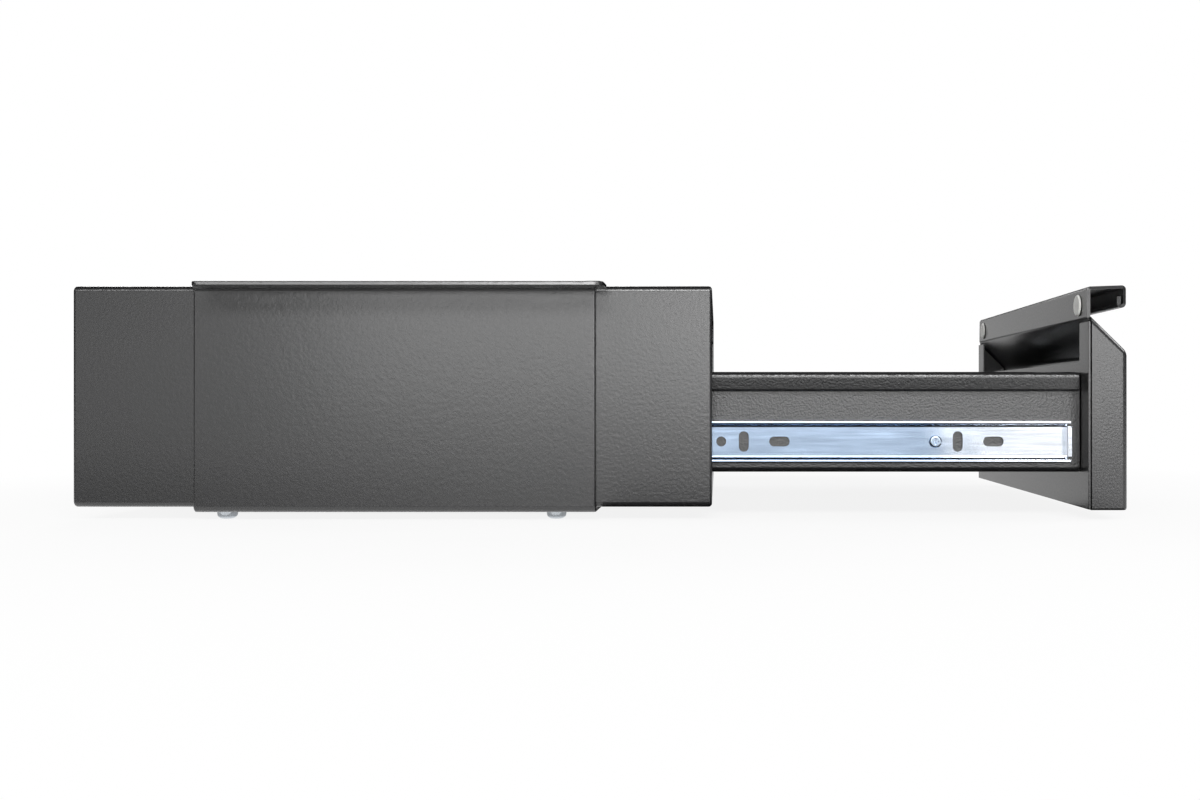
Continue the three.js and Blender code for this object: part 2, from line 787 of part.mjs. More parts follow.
function backPan() {
  const half = caseWidth / 2 - endInset;
  const bottom = frontBottom + seat;
  const middleTop = bottom + panMiddleHeight;
  const postTop = bottom + panPostHeight;
  const post = half - panPostWidth;
  const outline = [
    [-half, bottom],
    [half, bottom],
    [half, postTop],
    [post, postTop],
    [post, middleTop],
    [-post, middleTop],
    [-post, postTop],
    [-half, postTop],
  ];
  const plate = prism("x", outline, 0, panSheet);
  const flangeOuter = caseWidth / 2 - endInset - frontSheet - seat;
  const flanges = sides.map(({ sign }) => {
    const [y0, y1] = inOrder(sign * (flangeOuter - panSheet), sign * flangeOuter);
    return box(panSheet / 2, panFlange, y0, y1, bottom + frontSheet + seat, middleTop);
  });
  const [x0, x1] = [-past, panSheet + past];
  const spindleHole = rod("x", knobAcross, lockHeight, spindleRadius + spindleRoom, x0, x1);
  const coverHoles = coverScrewPlaces().map(([y, z]) =>
    rod("x", y, z, lockScrewRadius + shaftGap, x0, x1, smallSides),
  );
  return cutFrom(joined([plate, ...flanges]), [spindleHole, ...coverHoles]);
}

add(drawer, "front_shell", frontShell(), paint);
add(drawer, "front_back_pan", backPan(), paint);
for (const { name, sign } of sides) {
  const across = sign * (caseWidth / 2 - bumperInset);
  const bumper = rod("x", across, pullTop - bumperDrop, bumperRadius, -bumperRear, -seat);
  add(drawer, `bumper_${name}`, bumper, silicone);
}

// Lock
function lockScrewPlaces() {
  const rise = chamberHeight / 2 - chamberWall - lockScrewHead;
  return [chamberLeft, chamberRight].flatMap((end, i) => {
    const across = end + (i ? -1 : 1) * (chamberWall + lockScrewHead);
    return [
      [across, lockHeight + rise],
      [across, lockHeight - rise],
    ];
  });
}

function lockPlate() {
  const middle = (chamberLeft + chamberRight) / 2;
  const outline = roundedRectangle(
    middle - plateLength / 2,
    middle + plateLength / 2,
    lockHeight - plateHeight / 2,
    lockHeight + plateHeight / 2,
    plateCorner,
    plateSteps,
  );
  const buttonBores = buttonPlaces.map((y) => circle(y, lockHeight, buttonRadius + shaftGap));
  const spindleBore = circle(knobAcross, lockHeight, spindleRadius + shaftGap);
  const plate = prism("x", outline, plateBack, plateFace, [...buttonBores, spindleBore]);
  const screwHoles = lockScrewPlaces().map(([y, z]) =>
    rod("x", y, z, lockScrewRadius + shaftGap, plateBack - past, plateFace - plateSkin, smallSides),
  );
  return cutFrom(plate, screwHoles);
}

function lockChamber() {
  const [z0, z1] = [lockHeight - chamberHeight / 2, lockHeight + chamberHeight / 2];
  const shell = box(chamberBack, chamberFront, chamberLeft, chamberRight, z0, z1);
  const inside = box(
    chamberBack - past,
    chamberFront - chamberWall,
    chamberLeft + chamberWall,
    chamberRight - chamberWall,
    z0 + chamberWall,
    z1 - chamberWall,
  );
  const bosses = lockScrewPlaces().map(([y, z]) =>
    rod("x", y, z, lockBossRadius, chamberBack, chamberFront - chamberWall / 2, smallSides),
  );
  const [x0, x1] = [chamberBack - past, chamberFront + past];
  const stems = buttonPlaces.map((y) =>
    rod("x", y, lockHeight, stemRadius + shaftGap, x0, x1, smallSides),
  );
  const spindleBore = rod("x", knobAcross, lockHeight, spindleRadius + shaftGap, x0, x1);
  const screwBores = lockScrewPlaces().map(([y, z]) =>
    rod("x", y, z, lockScrewRadius + shaftGap, x0, x1, smallSides),
  );
  const body = joined([shell.subtract(inside), ...bosses]);
  return cutFrom(body, [...stems, spindleBore, ...screwBores]);
}

function lockCover() {
  const [z0, z1] = [lockHeight - chamberHeight / 2, lockHeight + chamberHeight / 2];
  const plate = box(coverBack, coverBack + chamberCover, chamberLeft, chamberRight, z0, z1);
  const [x0, x1] = [coverBack - past, chamberBack + past];
  const spindleBore = rod("x", knobAcross, lockHeight, spindleRadius + shaftGap, x0, x1);
  const screwBores = lockScrewPlaces().map(([y, z]) =>
    rod("x", y, z, lockScrewHead + shaftGap, x0, x1, smallSides),
  );
  return cutFrom(plate, [spindleBore, ...screwBores]);
}

function lockScrew([y, z]) {
  const head = rod("x", y, z, lockScrewHead, coverBack, chamberBack - seat, smallSides);
  const shank = rod("x", y, z, lockScrewRadius, coverBack, plateFace - plateSkin - seat, smallSides);
  return head.add(shank);
}

add(drawer, "lock_face_plate", lockPlate(), plateFinish);
add(drawer, "lock_chamber", lockChamber(), steel);
add(drawer, "lock_cover", lockCover(), steel);
lockScrewPlaces().forEach((place, i) => {
  add(drawer, `lock_screw_${i + 1}`, lockScrew(place), zinc);
});

const collarFront = chamberFront - chamberWall - seat;
const stemBack = plateFace - stemLength;

function button(y) {
  const capBack = plateBack + buttonTravel + seat;
  const cap = rod("x", y, lockHeight, buttonRadius, capBack, plateFace + buttonProud);
  const stem = rod("x", y, lockHeight, stemRadius, stemBack, plateFace, smallSides);
  const collar = rod("x", y, lockHeight, collarRadius, collarFront - collarThickness, collarFront);
  return joined([cap, stem, collar]);
}

class Helix extends THREE.Curve {
  constructor(radius, length, turns) {
    super();
    Object.assign(this, { radius, length, turns });
  }
  getPoint(t, target = new THREE.Vector3()) {
    const angle = t * this.turns * 2 * Math.PI;
    return target.set(t * this.length, this.radius * Math.cos(angle), this.radius * Math.sin(angle));
  }
}

function buttonSpring(y) {
  const radius = collarRadius - springWire / 2;
  const from = coverBack + chamberCover + seat + springWire / 2;
  const to = collarFront - collarThickness - seat - springWire / 2;
  const wire = new THREE.Shape(
    circle(0, 0, springWire / 2, springSides).map(([a, b]) => new THREE.Vector2(a, b)),
  );
  const coil = new THREE.ExtrudeGeometry(wire, {
    steps: springTurns * springSteps,
    extrudePath: new Helix(radius, to - from, springTurns),
    bevelEnabled: false,
  });
  return solid(coil.translate(from, y, lockHeight));
}

buttonPlaces.forEach((y, i) => {
  add(drawer, `button_${i + 1}`, button(y), chrome);
  add(drawer, `button_spring_${i + 1}`, buttonSpring(y), steel);
});

function turnKnob() {
  const back = plateFace + slideGap;
  const base = rod("x", knobAcross, lockHeight, knobRadius, back, back + knobBase);
  const grip = prism(
    "x",
    roundedRectangle(
      knobAcross - knobGripWidth / 2,
      knobAcross + knobGripWidth / 2,
      lockHeight - knobRadius + knobGripInset,
      lockHeight + knobRadius - knobGripInset,
      knobGripCorner,
    ),
    back,
    back + knobBase + knobGripReach,
  );
  const socket = rod("x", knobAcross, lockHeight, spindleRadius + shaftGap, back - past, back + knobSocket);
  return joined([base, grip]).subtract(socket);
}

function spindle() {
  const front = plateFace + slideGap + knobSocket - seat;
  return rod("x", knobAcross, lockHeight, spindleRadius, crankBack - crankThickness, front);
}

// At rest the crank pin stands an eighth of a turn above level, which holds the bolt up.
function crank() {
  const pin = [knobAcross + crankArm * Math.SQRT1_2, lockHeight + crankArm * Math.SQRT1_2];
  const rim = circle(knobAcross, lockHeight, crankRadius);
  const bore = circle(knobAcross, lockHeight, spindleRadius + shaftGap);
  const disc = prism("x", rim, crankBack - crankThickness, crankBack, [bore]);
  return disc.add(rod("x", ...pin, crankPinRadius, boltBack, crankBack - crankThickness / 2, smallSides));
}

function bolt() {
  const rise = crankArm * Math.SQRT1_2;
  const bottom = trayBottom + seat;
  const plate = box(
    boltBack,
    boltFront,
    knobAcross - boltWidth / 2,
    knobAcross + boltWidth / 2,
    bottom,
    bottom + boltHeight,
  );
  const reach = crankPinRadius + slideGap;
  const pinSlot = prism(
    "x",
    roundedRectangle(
      knobAcross + rise - reach,
      knobAcross + boltWidth / 2 - boltPinWall,
      lockHeight + rise - reach,
      lockHeight + rise + reach,
      reach * slotFullness,
      slotSteps,
    ),
    boltBack - past,
    boltFront + past,
  );
  return plate.subtract(pinSlot);
}

function boltCover() {
  const bottom = trayBottom + traySheet + seat;
  const top = trayBottom + seat + boltHeight + slideGap + boltCoverWall;
  const back = coverInside - boltCoverWall;
  const half = boltCoverHalf + boltCoverFoot;
  const section = [
    [knobAcross - half, crankBack],
    [knobAcross - half, crankBack - boltCoverWall],
    [knobAcross - boltCoverHalf, crankBack - boltCoverWall],
    [knobAcross - boltCoverHalf, back],
    [knobAcross + boltCoverHalf, back],
    [knobAcross + boltCoverHalf, crankBack - boltCoverWall],
    [knobAcross + half, crankBack - boltCoverWall],
    [knobAcross + half, crankBack],
  ];
  const inner = boltCoverHalf - boltCoverWall;
  const body = prism("z", section.map(([y, x]) => [x, y]), bottom, top);
  const [y0, y1] = [knobAcross - inner, knobAcross + inner];
  const hollow = box(coverInside, crankBack + past, y0, y1, bottom - past, top - boltCoverWall);
  const [x0, x1] = [crankBack - boltCoverWall - past, crankBack + past];
  const holes = coverScrewPlaces().map(([y, z]) =>
    rod("x", y, z, lockScrewRadius + shaftGap, x0, x1, smallSides),
  );
  return cutFrom(body, [hollow, ...holes]);
}

function coverScrew([y, z]) {
  const under = crankBack - boltCoverWall - seat;
  const head = rod("x", y, z, lockScrewHead, under - coverScrewHeadHeight, under, smallSides);
  return head.add(rod("x", y, z, lockScrewRadius, under - coverScrewHeadHeight / 2, panSheet, smallSides));
}

add(drawer, "turn_knob", turnKnob(), chrome);
add(drawer, "spindle", spindle(), steel);
add(drawer, "crank", crank(), steel);
add(drawer, "bolt", bolt(), steel);
add(drawer, "bolt_cover", boltCover(), paint);
coverScrewPlaces().forEach((place, i) => {
  add(drawer, `bolt_cover_screw_${i + 1}`, coverScrew(place), zinc);
});

// The origin goes under the middle of the whole box.
const bounds = new THREE.Box3().setFromObject(safe);
housing.position.x = -(bounds.min.x + bounds.max.x) / 2;

export default safe;
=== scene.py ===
import math

import bmesh
import bpy
from mathutils import Matrix, Vector


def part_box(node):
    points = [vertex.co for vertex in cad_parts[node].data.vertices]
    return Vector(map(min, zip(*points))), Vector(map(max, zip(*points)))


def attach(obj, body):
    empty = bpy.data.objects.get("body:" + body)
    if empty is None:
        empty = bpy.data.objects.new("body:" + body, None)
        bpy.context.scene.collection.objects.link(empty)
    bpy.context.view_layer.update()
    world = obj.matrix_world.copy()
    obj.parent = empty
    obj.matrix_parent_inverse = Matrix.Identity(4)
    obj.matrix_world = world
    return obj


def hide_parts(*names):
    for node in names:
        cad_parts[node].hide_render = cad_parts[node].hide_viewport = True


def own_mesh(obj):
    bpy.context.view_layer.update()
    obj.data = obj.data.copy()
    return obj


bl_info = {
    "name": "Under-desk drawer safe",
    "version": (1, 0, 0),
    "blender": (4, 5, 0),
    "location": "View3D > Sidebar > Drawer safe",
    "description": "Builds a steel drawer safe in its desk bracket, piece by piece",
    "category": "Object",
}

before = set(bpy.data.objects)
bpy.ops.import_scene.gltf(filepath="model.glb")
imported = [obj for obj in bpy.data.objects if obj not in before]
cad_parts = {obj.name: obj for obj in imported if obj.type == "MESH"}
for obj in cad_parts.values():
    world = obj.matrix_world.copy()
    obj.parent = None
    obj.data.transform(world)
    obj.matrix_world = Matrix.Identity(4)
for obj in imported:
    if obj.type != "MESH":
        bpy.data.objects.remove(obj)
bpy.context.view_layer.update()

MM = 0.001
SIDES = {"near": -1, "far": 1}
CORNERS = [(end, side) for end in ("front", "rear") for side in SIDES]
BUTTONS = range(1, 6)
LOCK_SCREWS = range(1, 5)
COVER_SCREWS = range(1, 3)
SCREW_HOLE = 1.65 * MM  # the radius of the hole for a 3 mm screw


def srgb(code):
    """The linear colour of an sRGB hex code such as #3f4042."""
    values = [int(code[i : i + 2], 16) / 255 for i in (1, 3, 5)]
    linear = [v / 12.92 if v <= 0.04045 else ((v + 0.055) / 1.055) ** 2.4 for v in values]
    return (*linear, 1.0)


def length(name, description, millimetres):
    return bpy.props.FloatProperty(
        name=name,
        description=description,
        default=millimetres * MM,
        min=0.0,
        precision=5,
        subtype="DISTANCE",
        unit="LENGTH",
    )


def colour(name, description, code):
    return bpy.props.FloatVectorProperty(
        name=name, description=description, default=srgb(code), size=4, min=0.0, max=1.0, subtype="COLOR"
    )


class SafeSizes(bpy.types.PropertyGroup):
    case_sheet: length("Case sheet", "Thickness of the case's and the bracket's steel", 1.9)
    case_bend: length("Case bend", "Outer radius of the case's long folds", 2.5)
    rim_round: length("Rim rounding", "Radius of the case's front and rear outer edges", 1.5)
    bracket_fold: length("Bracket fold", "Inner radius of the bracket's folds", 1.2)
    tray_sheet: length("Tray sheet", "Thickness of the tray's steel", 1.2)
    tray_fold: length("Tray fold", "Inner radius of the tray's lower folds", 1.2)
    lip_fold: length("Lip fold", "Inner radius of the fold where a lip leaves the tray's side", 1.1)
    lip_roll: length("Lip roll", "Inner radius of the fold where a lip turns down", 1.3)
    slide_sheet: length("Slide sheet", "Thickness of the ball slides' members", 1.2)
    slide_race: length("Slide race", "Inner radius of the drawer member's ball races", 1.7)
    front_sheet: length("Front sheet", "Thickness of the drawer front's steel", 1.5)
    front_edge: length("Front edges", "Radius of the drawer front's upright and sloping edges", 2.6)
    front_foot: length("Front's foot", "Radius of the drawer front's lower edges", 1.0)
    sheet_edge: length("Cut edges", "Radius of the sheets' cut edges", 0.3)
    bracket_edge: length("Bracket edges", "Radius of the bracket's coated cut edges", 0.4)
    bracket_upright: length("Bracket uprights", "Radius of the cradle's upright outer edges", 0.85)
    tray_hem: length("Tray hem", "Middle radius of the hems along the tray's lips", 0.72)
    front_cut_slant: length("Hood's cut slant", "How far the hood's cut ends lean back across the sheet", 0.7)
    case_grain: length("Case grain", "Width of a bump of the case's orange peel", 1.5)
    drawer_grain: length("Drawer grain", "Width of a bump of the drawer's orange peel", 1.0)


class SafeColours(bpy.types.PropertyGroup):
    coat: colour("Powder coat", "The charcoal coat of every painted sheet", "#1c1c1d")
    zinc: colour("Blue zinc plate", "The ball slides' plating", "#a1b3c9")
    screws: colour("Clear zinc plate", "The screws' and nuts' plating", "#ced3d8")
    steel: colour("Bare steel", "The lock's works and the ball cages", "#a2a4a8")
    chrome: colour("Satin chrome", "The lock's knob and buttons", "#cfd2d5")
    rubber: colour("Bumper", "The two clear silicone bumpers", "#e8e8e4")
    foam: colour("Liner foam", "The foam sheet in the tray", "#26272a")
    enamel: colour("Plate enamel", "The lock's face plate", "#17181a")
    marks: colour("Numbers", "The numbers on the buttons", "#1b1c1e")


# Modelling by hand, in code


def deselect():
    if bpy.context.mode != "OBJECT":
        bpy.ops.object.mode_set(mode="OBJECT")
    bpy.ops.object.select_all(action="DESELECT")


def pick(*pieces):
    deselect()
    for piece in pieces:
        piece.select_set(True)
    bpy.context.view_layer.objects.active = pieces[0]


def named(name, size=(1, 1, 1)):
    """Names the piece just added, and puts its place and size into its mesh."""
    piece = bpy.context.object
    piece.name = piece.data.name = name
    piece.scale = size
    bpy.ops.object.transform_apply(location=True, rotation=True, scale=True)
    return piece


def block(name, low, high):
    deselect()
    low, high = Vector(low), Vector(high)
    bpy.ops.mesh.primitive_cube_add(size=1, location=(low + high) / 2)
    return named(name, high - low)


def rod(name, start, end, radius, sides=48):
    """A cylinder from start to end, which lie on a line along X, Y or Z."""
    deselect()
    start, end = Vector(start), Vector(end)
    turn = (end - start).to_track_quat("Z", "Y").to_euler()
    bpy.ops.mesh.primitive_cylinder_add(
        vertices=sides,
        radius=radius,
        depth=(end - start).length,
        location=(start + end) / 2,
        rotation=turn,
    )
    return named(name)


def drill(node, axis, start, end, radius, sides=24):
    """A punch from start to end along X, Y or Z (0, 1 or 2), for the hole that a node sits in."""
    ends = [centre(node), centre(node)]
    ends[0][axis], ends[1][axis] = start, end
    return rod("hole", *ends, radius, sides)


def edit(piece):
    pick(piece)
    bpy.ops.object.mode_set(mode="EDIT")


def choose(kind, test):
    """In edit mode, selects the verts, edges or faces that pass the test, and nothing else."""
    data = bpy.context.object.data
    bpy.ops.mesh.select_mode(type={"verts": "VERT", "edges": "EDGE", "faces": "FACE"}[kind])
    bpy.ops.mesh.select_all(action="DESELECT")
    mesh = bmesh.from_edit_mesh(data)
    found = [part for part in getattr(mesh, kind) if test(part)]
    if not found:
        raise RuntimeError(f"{bpy.context.object.name}: no {kind} to select")
    for part in found:
        part.select_set(True)
    bmesh.update_edit_mesh(data)


def choose_all():
    bpy.ops.mesh.select_all(action="SELECT")


def middle(part):
    points = [v.co for v in part.verts]
    return sum(points, Vector()) / len(points)


def runs(edge, axis):
    """Whether an edge runs along X, Y or Z (0, 1 or 2)."""
    way = edge.verts[1].co - edge.verts[0].co
    return abs(way[axis]) > 0.999 * way.length


def near(a, b, slack=0.02 * MM):
    return abs(a - b) < slack


def lies_at(axis, place):
    """A test for edges that lie at a place along X, Y or Z (0, 1 or 2)."""
    return lambda edge: all(near(v.co[axis], place) for v in edge.verts)


def stands_off(y, z, radius):
    """A test for edges that lie at a distance from a line along X."""
    return lambda edge: all(near(math.hypot(v.co.y - y, v.co.z - z), radius) for v in edge.verts)


def centre(node):
    """The middle of a CAD node's box."""
    return [(a + b) / 2 for a, b in zip(*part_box(node))]


def extrude(shift):
    bpy.ops.mesh.extrude_region_move(TRANSFORM_OT_translate={"value": shift})


def inset(width, **settings):
    bpy.ops.mesh.inset(thickness=width, **settings)


def bevel(width, steps=5, affect="EDGES"):
    bpy.ops.mesh.bevel(offset=width, offset_type="OFFSET", segments=steps, profile=0.5, affect=affect)


def bevel_edges(test, width, steps=5):
    choose("edges", test)
    bevel(width, steps)


def remove_faces(test):
    choose("faces", test)
    bpy.ops.mesh.delete(type="FACE")


def done():
    bpy.ops.object.mode_set(mode="OBJECT")


def modify(piece, kind, **settings):
    pick(piece)
    modifier = piece.modifiers.new(kind.title(), kind)
    for name, value in settings.items():
        setattr(modifier, name, value)
    bpy.ops.object.modifier_apply(modifier=modifier.name)


def round_long_edges(bar, width, steps=4):
    """Rounds the edges of a block that run along X."""
    edit(bar)
    bevel_edges(lambda e: runs(e, 0), width, steps)
    done()


def thicken(piece, sheet, offset=0.0):
    modify(piece, "SOLIDIFY", thickness=sheet, offset=offset, use_even_offset=True)


def soften(piece, width, steps=2, clamped=False):
    modify(
        piece,
        "BEVEL",
        width=width,
        segments=steps,
        limit_method="ANGLE",
        angle_limit=math.radians(40),
        miter_outer="MITER_ARC",
        use_clamp_overlap=clamped,
    )


def combine(piece, others, operation):
    for other in others:
        modify(piece, "BOOLEAN", operation=operation, object=other, solver="EXACT")
        bpy.data.objects.remove(other)
    return piece


def cut(piece, *cutters):
    return combine(piece, cutters, "DIFFERENCE")


def weld(piece, *others):
    return combine(piece, others, "UNION")


def copy_of(piece, name):
    pick(piece)
    bpy.ops.object.duplicate()
    copy = bpy.context.object
    copy.name = copy.data.name = name
    return copy


def moved(piece, shift):
    pick(piece)
    bpy.ops.transform.translate(value=shift)
    bpy.ops.object.transform_apply(location=True, rotation=True, scale=True)
    return piece


def mirrored(piece, name):
    """A copy on the other side of the safe, with its faces turned outwards again."""
    copy = copy_of(piece, name)
    bpy.ops.transform.resize(value=(1, -1, 1), center_override=(0, 0, 0))
    bpy.ops.object.transform_apply(location=True, rotation=True, scale=True)
    edit(copy)
    choose_all()
    bpy.ops.mesh.normals_make_consistent(inside=False)
    done()
    return copy


def facing_out(piece):
    """Merges an open shell's doubles and makes its faces agree, before it gets its thickness."""
    edit(piece)
    choose_all()
    bpy.ops.mesh.remove_doubles(threshold=0.001 * MM)
    bpy.ops.mesh.normals_make_consistent(inside=False)
    done()


def slot_cutter(name, centre, way, long, wide, depth):
    """A slot's punch: a cylinder through the sheet, with its two halves moved apart along the way."""
    centre, way, depth = Vector(centre), Vector(way), Vector(depth)
    punch = rod(name, centre - depth, centre + depth, wide / 2, 32)
    for sign in (-1, 1):
        edit(punch)
        choose("verts", lambda v: sign * (v.co - centre).dot(way) > 0.001 * MM)
        bpy.ops.transform.translate(value=sign * way * (long - wide) / 2)
        done()
    return punch


def folded_sheet(name, axis, span, line, radii):
    """A sheet with no thickness yet: a plane on the line's first stretch, extruded across each
    fold to the next, with the folds then bevelled round. The line's points are (across, up)."""
    deselect()
    cross = 1 - axis
    points = []
    for across, up in line:
        point = Vector((0, 0, up))
        point[cross] = across
        point[axis] = (span[0] + span[1]) / 2
        points.append(point)
    first = points[1] - points[0]
    run = Vector()
    run[axis] = 1
    turn = Matrix((first.normalized(), run, first.normalized().cross(run))).transposed()
    place = (points[0] + points[1]) / 2
    bpy.ops.mesh.primitive_plane_add(size=1, location=place, rotation=turn.to_euler())
    sheet = named(name, (first.length, span[1] - span[0], 1))

    def crosses(point):
        return lambda e: all(near(v.co[cross], point[cross]) and near(v.co.z, point.z) for v in e.verts)

    edit(sheet)
    for start, end in zip(points[1:], points[2:]):
        choose("edges", crosses(start))
        extrude(end - start)
    for before, fold, after, radius in zip(points, points[1:], points[2:], radii):
        turn = (fold - before).angle(after - fold)
        bevel_edges(crosses(fold), radius * math.tan(turn / 2), 7 if radius > MM else 5)
    done()
    facing_out(sheet)
    return sheet


def cross_recess(name, centre, way, depth, reach):
    """A cross-head driver's tip: two bars whose inner ends taper."""
    centre, way = Vector(centre), Vector(way)
    other = [Vector(v) for v in ((1, 0, 0), (0, 1, 0), (0, 0, 1)) if abs(Vector(v).dot(way)) < 0.5]
    bars = []
    for i in (0, 1):
        half = other[i] * reach + other[1 - i] * reach * 0.2 + Vector(map(abs, way)) * depth
        bar = block(f"{name}_{i}", centre - half, centre + half)
        edit(bar)
        choose("verts", lambda v: (v.co - centre).dot(way) > 0)
        bpy.ops.transform.resize(value=(0.62, 0.62, 0.62), center_override=centre + way * depth)
        done()
        bars.append(bar)
    return weld(*bars)


def pan_head_screw(name, start, axis, tip, head, radii, dome, recess, sides=32, point=0.0, face=1.0):
    """A screw that points along an axis, from the middle of its head's face to its tip. The head is
    domed by one bevel, its face may be smaller than its foot, and the tip may have a chamfer."""
    start, way = Vector(start), Vector()
    way[axis] = 1
    foot = start + way * head
    screw = rod(name, start, foot, radii[0], sides)
    edit(screw)
    choose("faces", lambda f: f.normal[axis] > 0.9)
    inset(radii[0] - radii[1])
    extrude(way * (tip - foot[axis]))
    if face < 1:
        choose("verts", lambda v: near(v.co[axis], start[axis]))
        size = [1 if i == axis else face for i in range(3)]
        bpy.ops.transform.resize(value=size, center_override=start)
    bevel_edges(lies_at(axis, start[axis]), *dome)
    if point:
        bevel_edges(lies_at(axis, tip), point, 1)
    done()
    return cut(screw, cross_recess("recess", start, way, *recess))


# Finishes

NOISE_RANGE = {"From Min": 0.3, "From Max": 0.7}  # the values that a noise seldom passes


def add_node(holder, kind, settings=None, links=None):
    """Adds a node with its settings and sockets' values, and links its inputs to (node, output)."""
    tree = holder.node_tree
    added = tree.nodes.new("ShaderNode" + kind)
    for name, value in (settings or {}).items():
        if isinstance(name, int) or name in added.inputs:
            added.inputs[name].default_value = value
        else:
            setattr(added, name, value)
    for name, (source, output) in (links or {}).items():
        tree.links.new(source.outputs[output], added.inputs[name])
    return added


def start_material(name):
    material = bpy.data.materials.get(name)
    if material:
        return material, True
    material = bpy.data.materials.new(name)
    material.use_nodes = True
    material.node_tree.nodes.clear()
    return material, False


def complete(material, settings, links):
    shader = add_node(material, "BsdfPrincipled", settings, links)
    add_node(material, "OutputMaterial", {}, {"Surface": (shader, "BSDF")})
    return material


def shades(code, amount):
    """A colour a little darker and a little lighter than the given one."""
    dark = (*[max(0.0, v * (1 - amount)) for v in code[:3]], 1.0)
    light = (*[min(1.0, v * (1 + amount)) for v in code[:3]], 1.0)
    return dark, light


def finish(name, tint, amount, textures, tone, gloss, relief, settings):
    """A finish with a few textures, each a node's kind, its settings and a stretch or None. The tone
    texture clouds the tint, and the others named set the roughness and the height."""
    material, ready = start_material(name)
    if ready:
        return material
    place = add_node(material, "TexCoord")
    outputs = {}
    for title, (kind, values, stretch) in textures.items():
        source = (place, "Object")
        if stretch:
            source = (add_node(material, "Mapping", {"Scale": stretch}, {"Vector": source}), "Vector")
        made = add_node(material, kind, values, {"Vector": source})
        outputs[title] = (made, "Distance" if kind == "TexVoronoi" else "Fac")
    dark, light = shades(tint, amount)
    base = add_node(material, "Mix", {"data_type": "RGBA", 6: dark, 7: light}, {0: outputs[tone]})
    links = {"Base Color": (base, 2)}
    if gloss:
        title, low, high = gloss
        spread = {**NOISE_RANGE, "To Min": low, "To Max": high}
        links["Roughness"] = (add_node(material, "MapRange", spread, {"Value": outputs[title]}), "Result")
    title, heights = relief
    links["Normal"] = (add_node(material, "Bump", heights, {"Height": outputs[title]}), "Normal")
    return complete(material, settings, links)


def powder_coat(name, tint, grain, relief):
    """Polyester powder coat on steel: it flows before it hardens, which leaves an even orange
    peel with soft highlights, and a fine speckle of slightly lighter resin."""
    material, ready = start_material(name)
    if ready:
        return material
    dark, light = shades(tint, 0.12)
    place = {"Vector": (add_node(material, "TexCoord"), "Object")}
    peel = add_node(material, "TexNoise", {"Scale": 1 / grain, "Detail": 2.5, "Roughness": 0.55}, place)
    speckle = add_node(material, "TexNoise", {"Scale": 2.6 / grain, "Detail": 1.0}, place)
    drift = add_node(material, "TexNoise", {"Scale": 18.0, "Detail": 2.0}, place)
    both = {0: (drift, "Fac"), 2: (speckle, "Fac")}
    blend = add_node(material, "Math", {"operation": "MULTIPLY_ADD", 1: 0.35}, both)
    spread = add_node(material, "MapRange", {"From Min": 0.4, "From Max": 0.95}, {"Value": (blend, 0)})
    tones = {"data_type": "RGBA", 6: dark, 7: light}
    base = add_node(material, "Mix", tones, {0: (spread, "Result")})
    shine = {**NOISE_RANGE, "To Min": 0.35, "To Max": 0.43}
    gloss = add_node(material, "MapRange", shine, {"Value": (peel, "Fac")})
    bumps = add_node(material, "Bump", {"Strength": 1.0, "Distance": relief}, {"Height": (peel, "Fac")})
    return complete(
        material,
        {"IOR": 1.55, "Coat Weight": 1.0, "Coat Roughness": 0.19, "Coat IOR": 1.5},
        {
            "Base Color": (base, 2),
            "Roughness": (gloss, "Result"),
            "Normal": (bumps, "Normal"),
            "Coat Normal": (bumps, "Normal"),
        },
    )


def coat(context, part):
    """The coat of one part: its peel's width comes from the sizes, and its height is less on the
    large flat sheets, where the powder lies evenly, than on the small ones."""
    sizes, tint = context.scene.safe_sizes, context.scene.safe_colours.coat
    grain, relief = {
        "case": (sizes.case_grain, 0.08 * MM),
        "bracket": (sizes.case_grain, 0.06 * MM),
        "front": (sizes.drawer_grain, 0.07 * MM),
        "tray": (sizes.drawer_grain, 0.2 * MM),
    }[part]
    return powder_coat(f"powder_coat_{part}", tint, grain, relief)


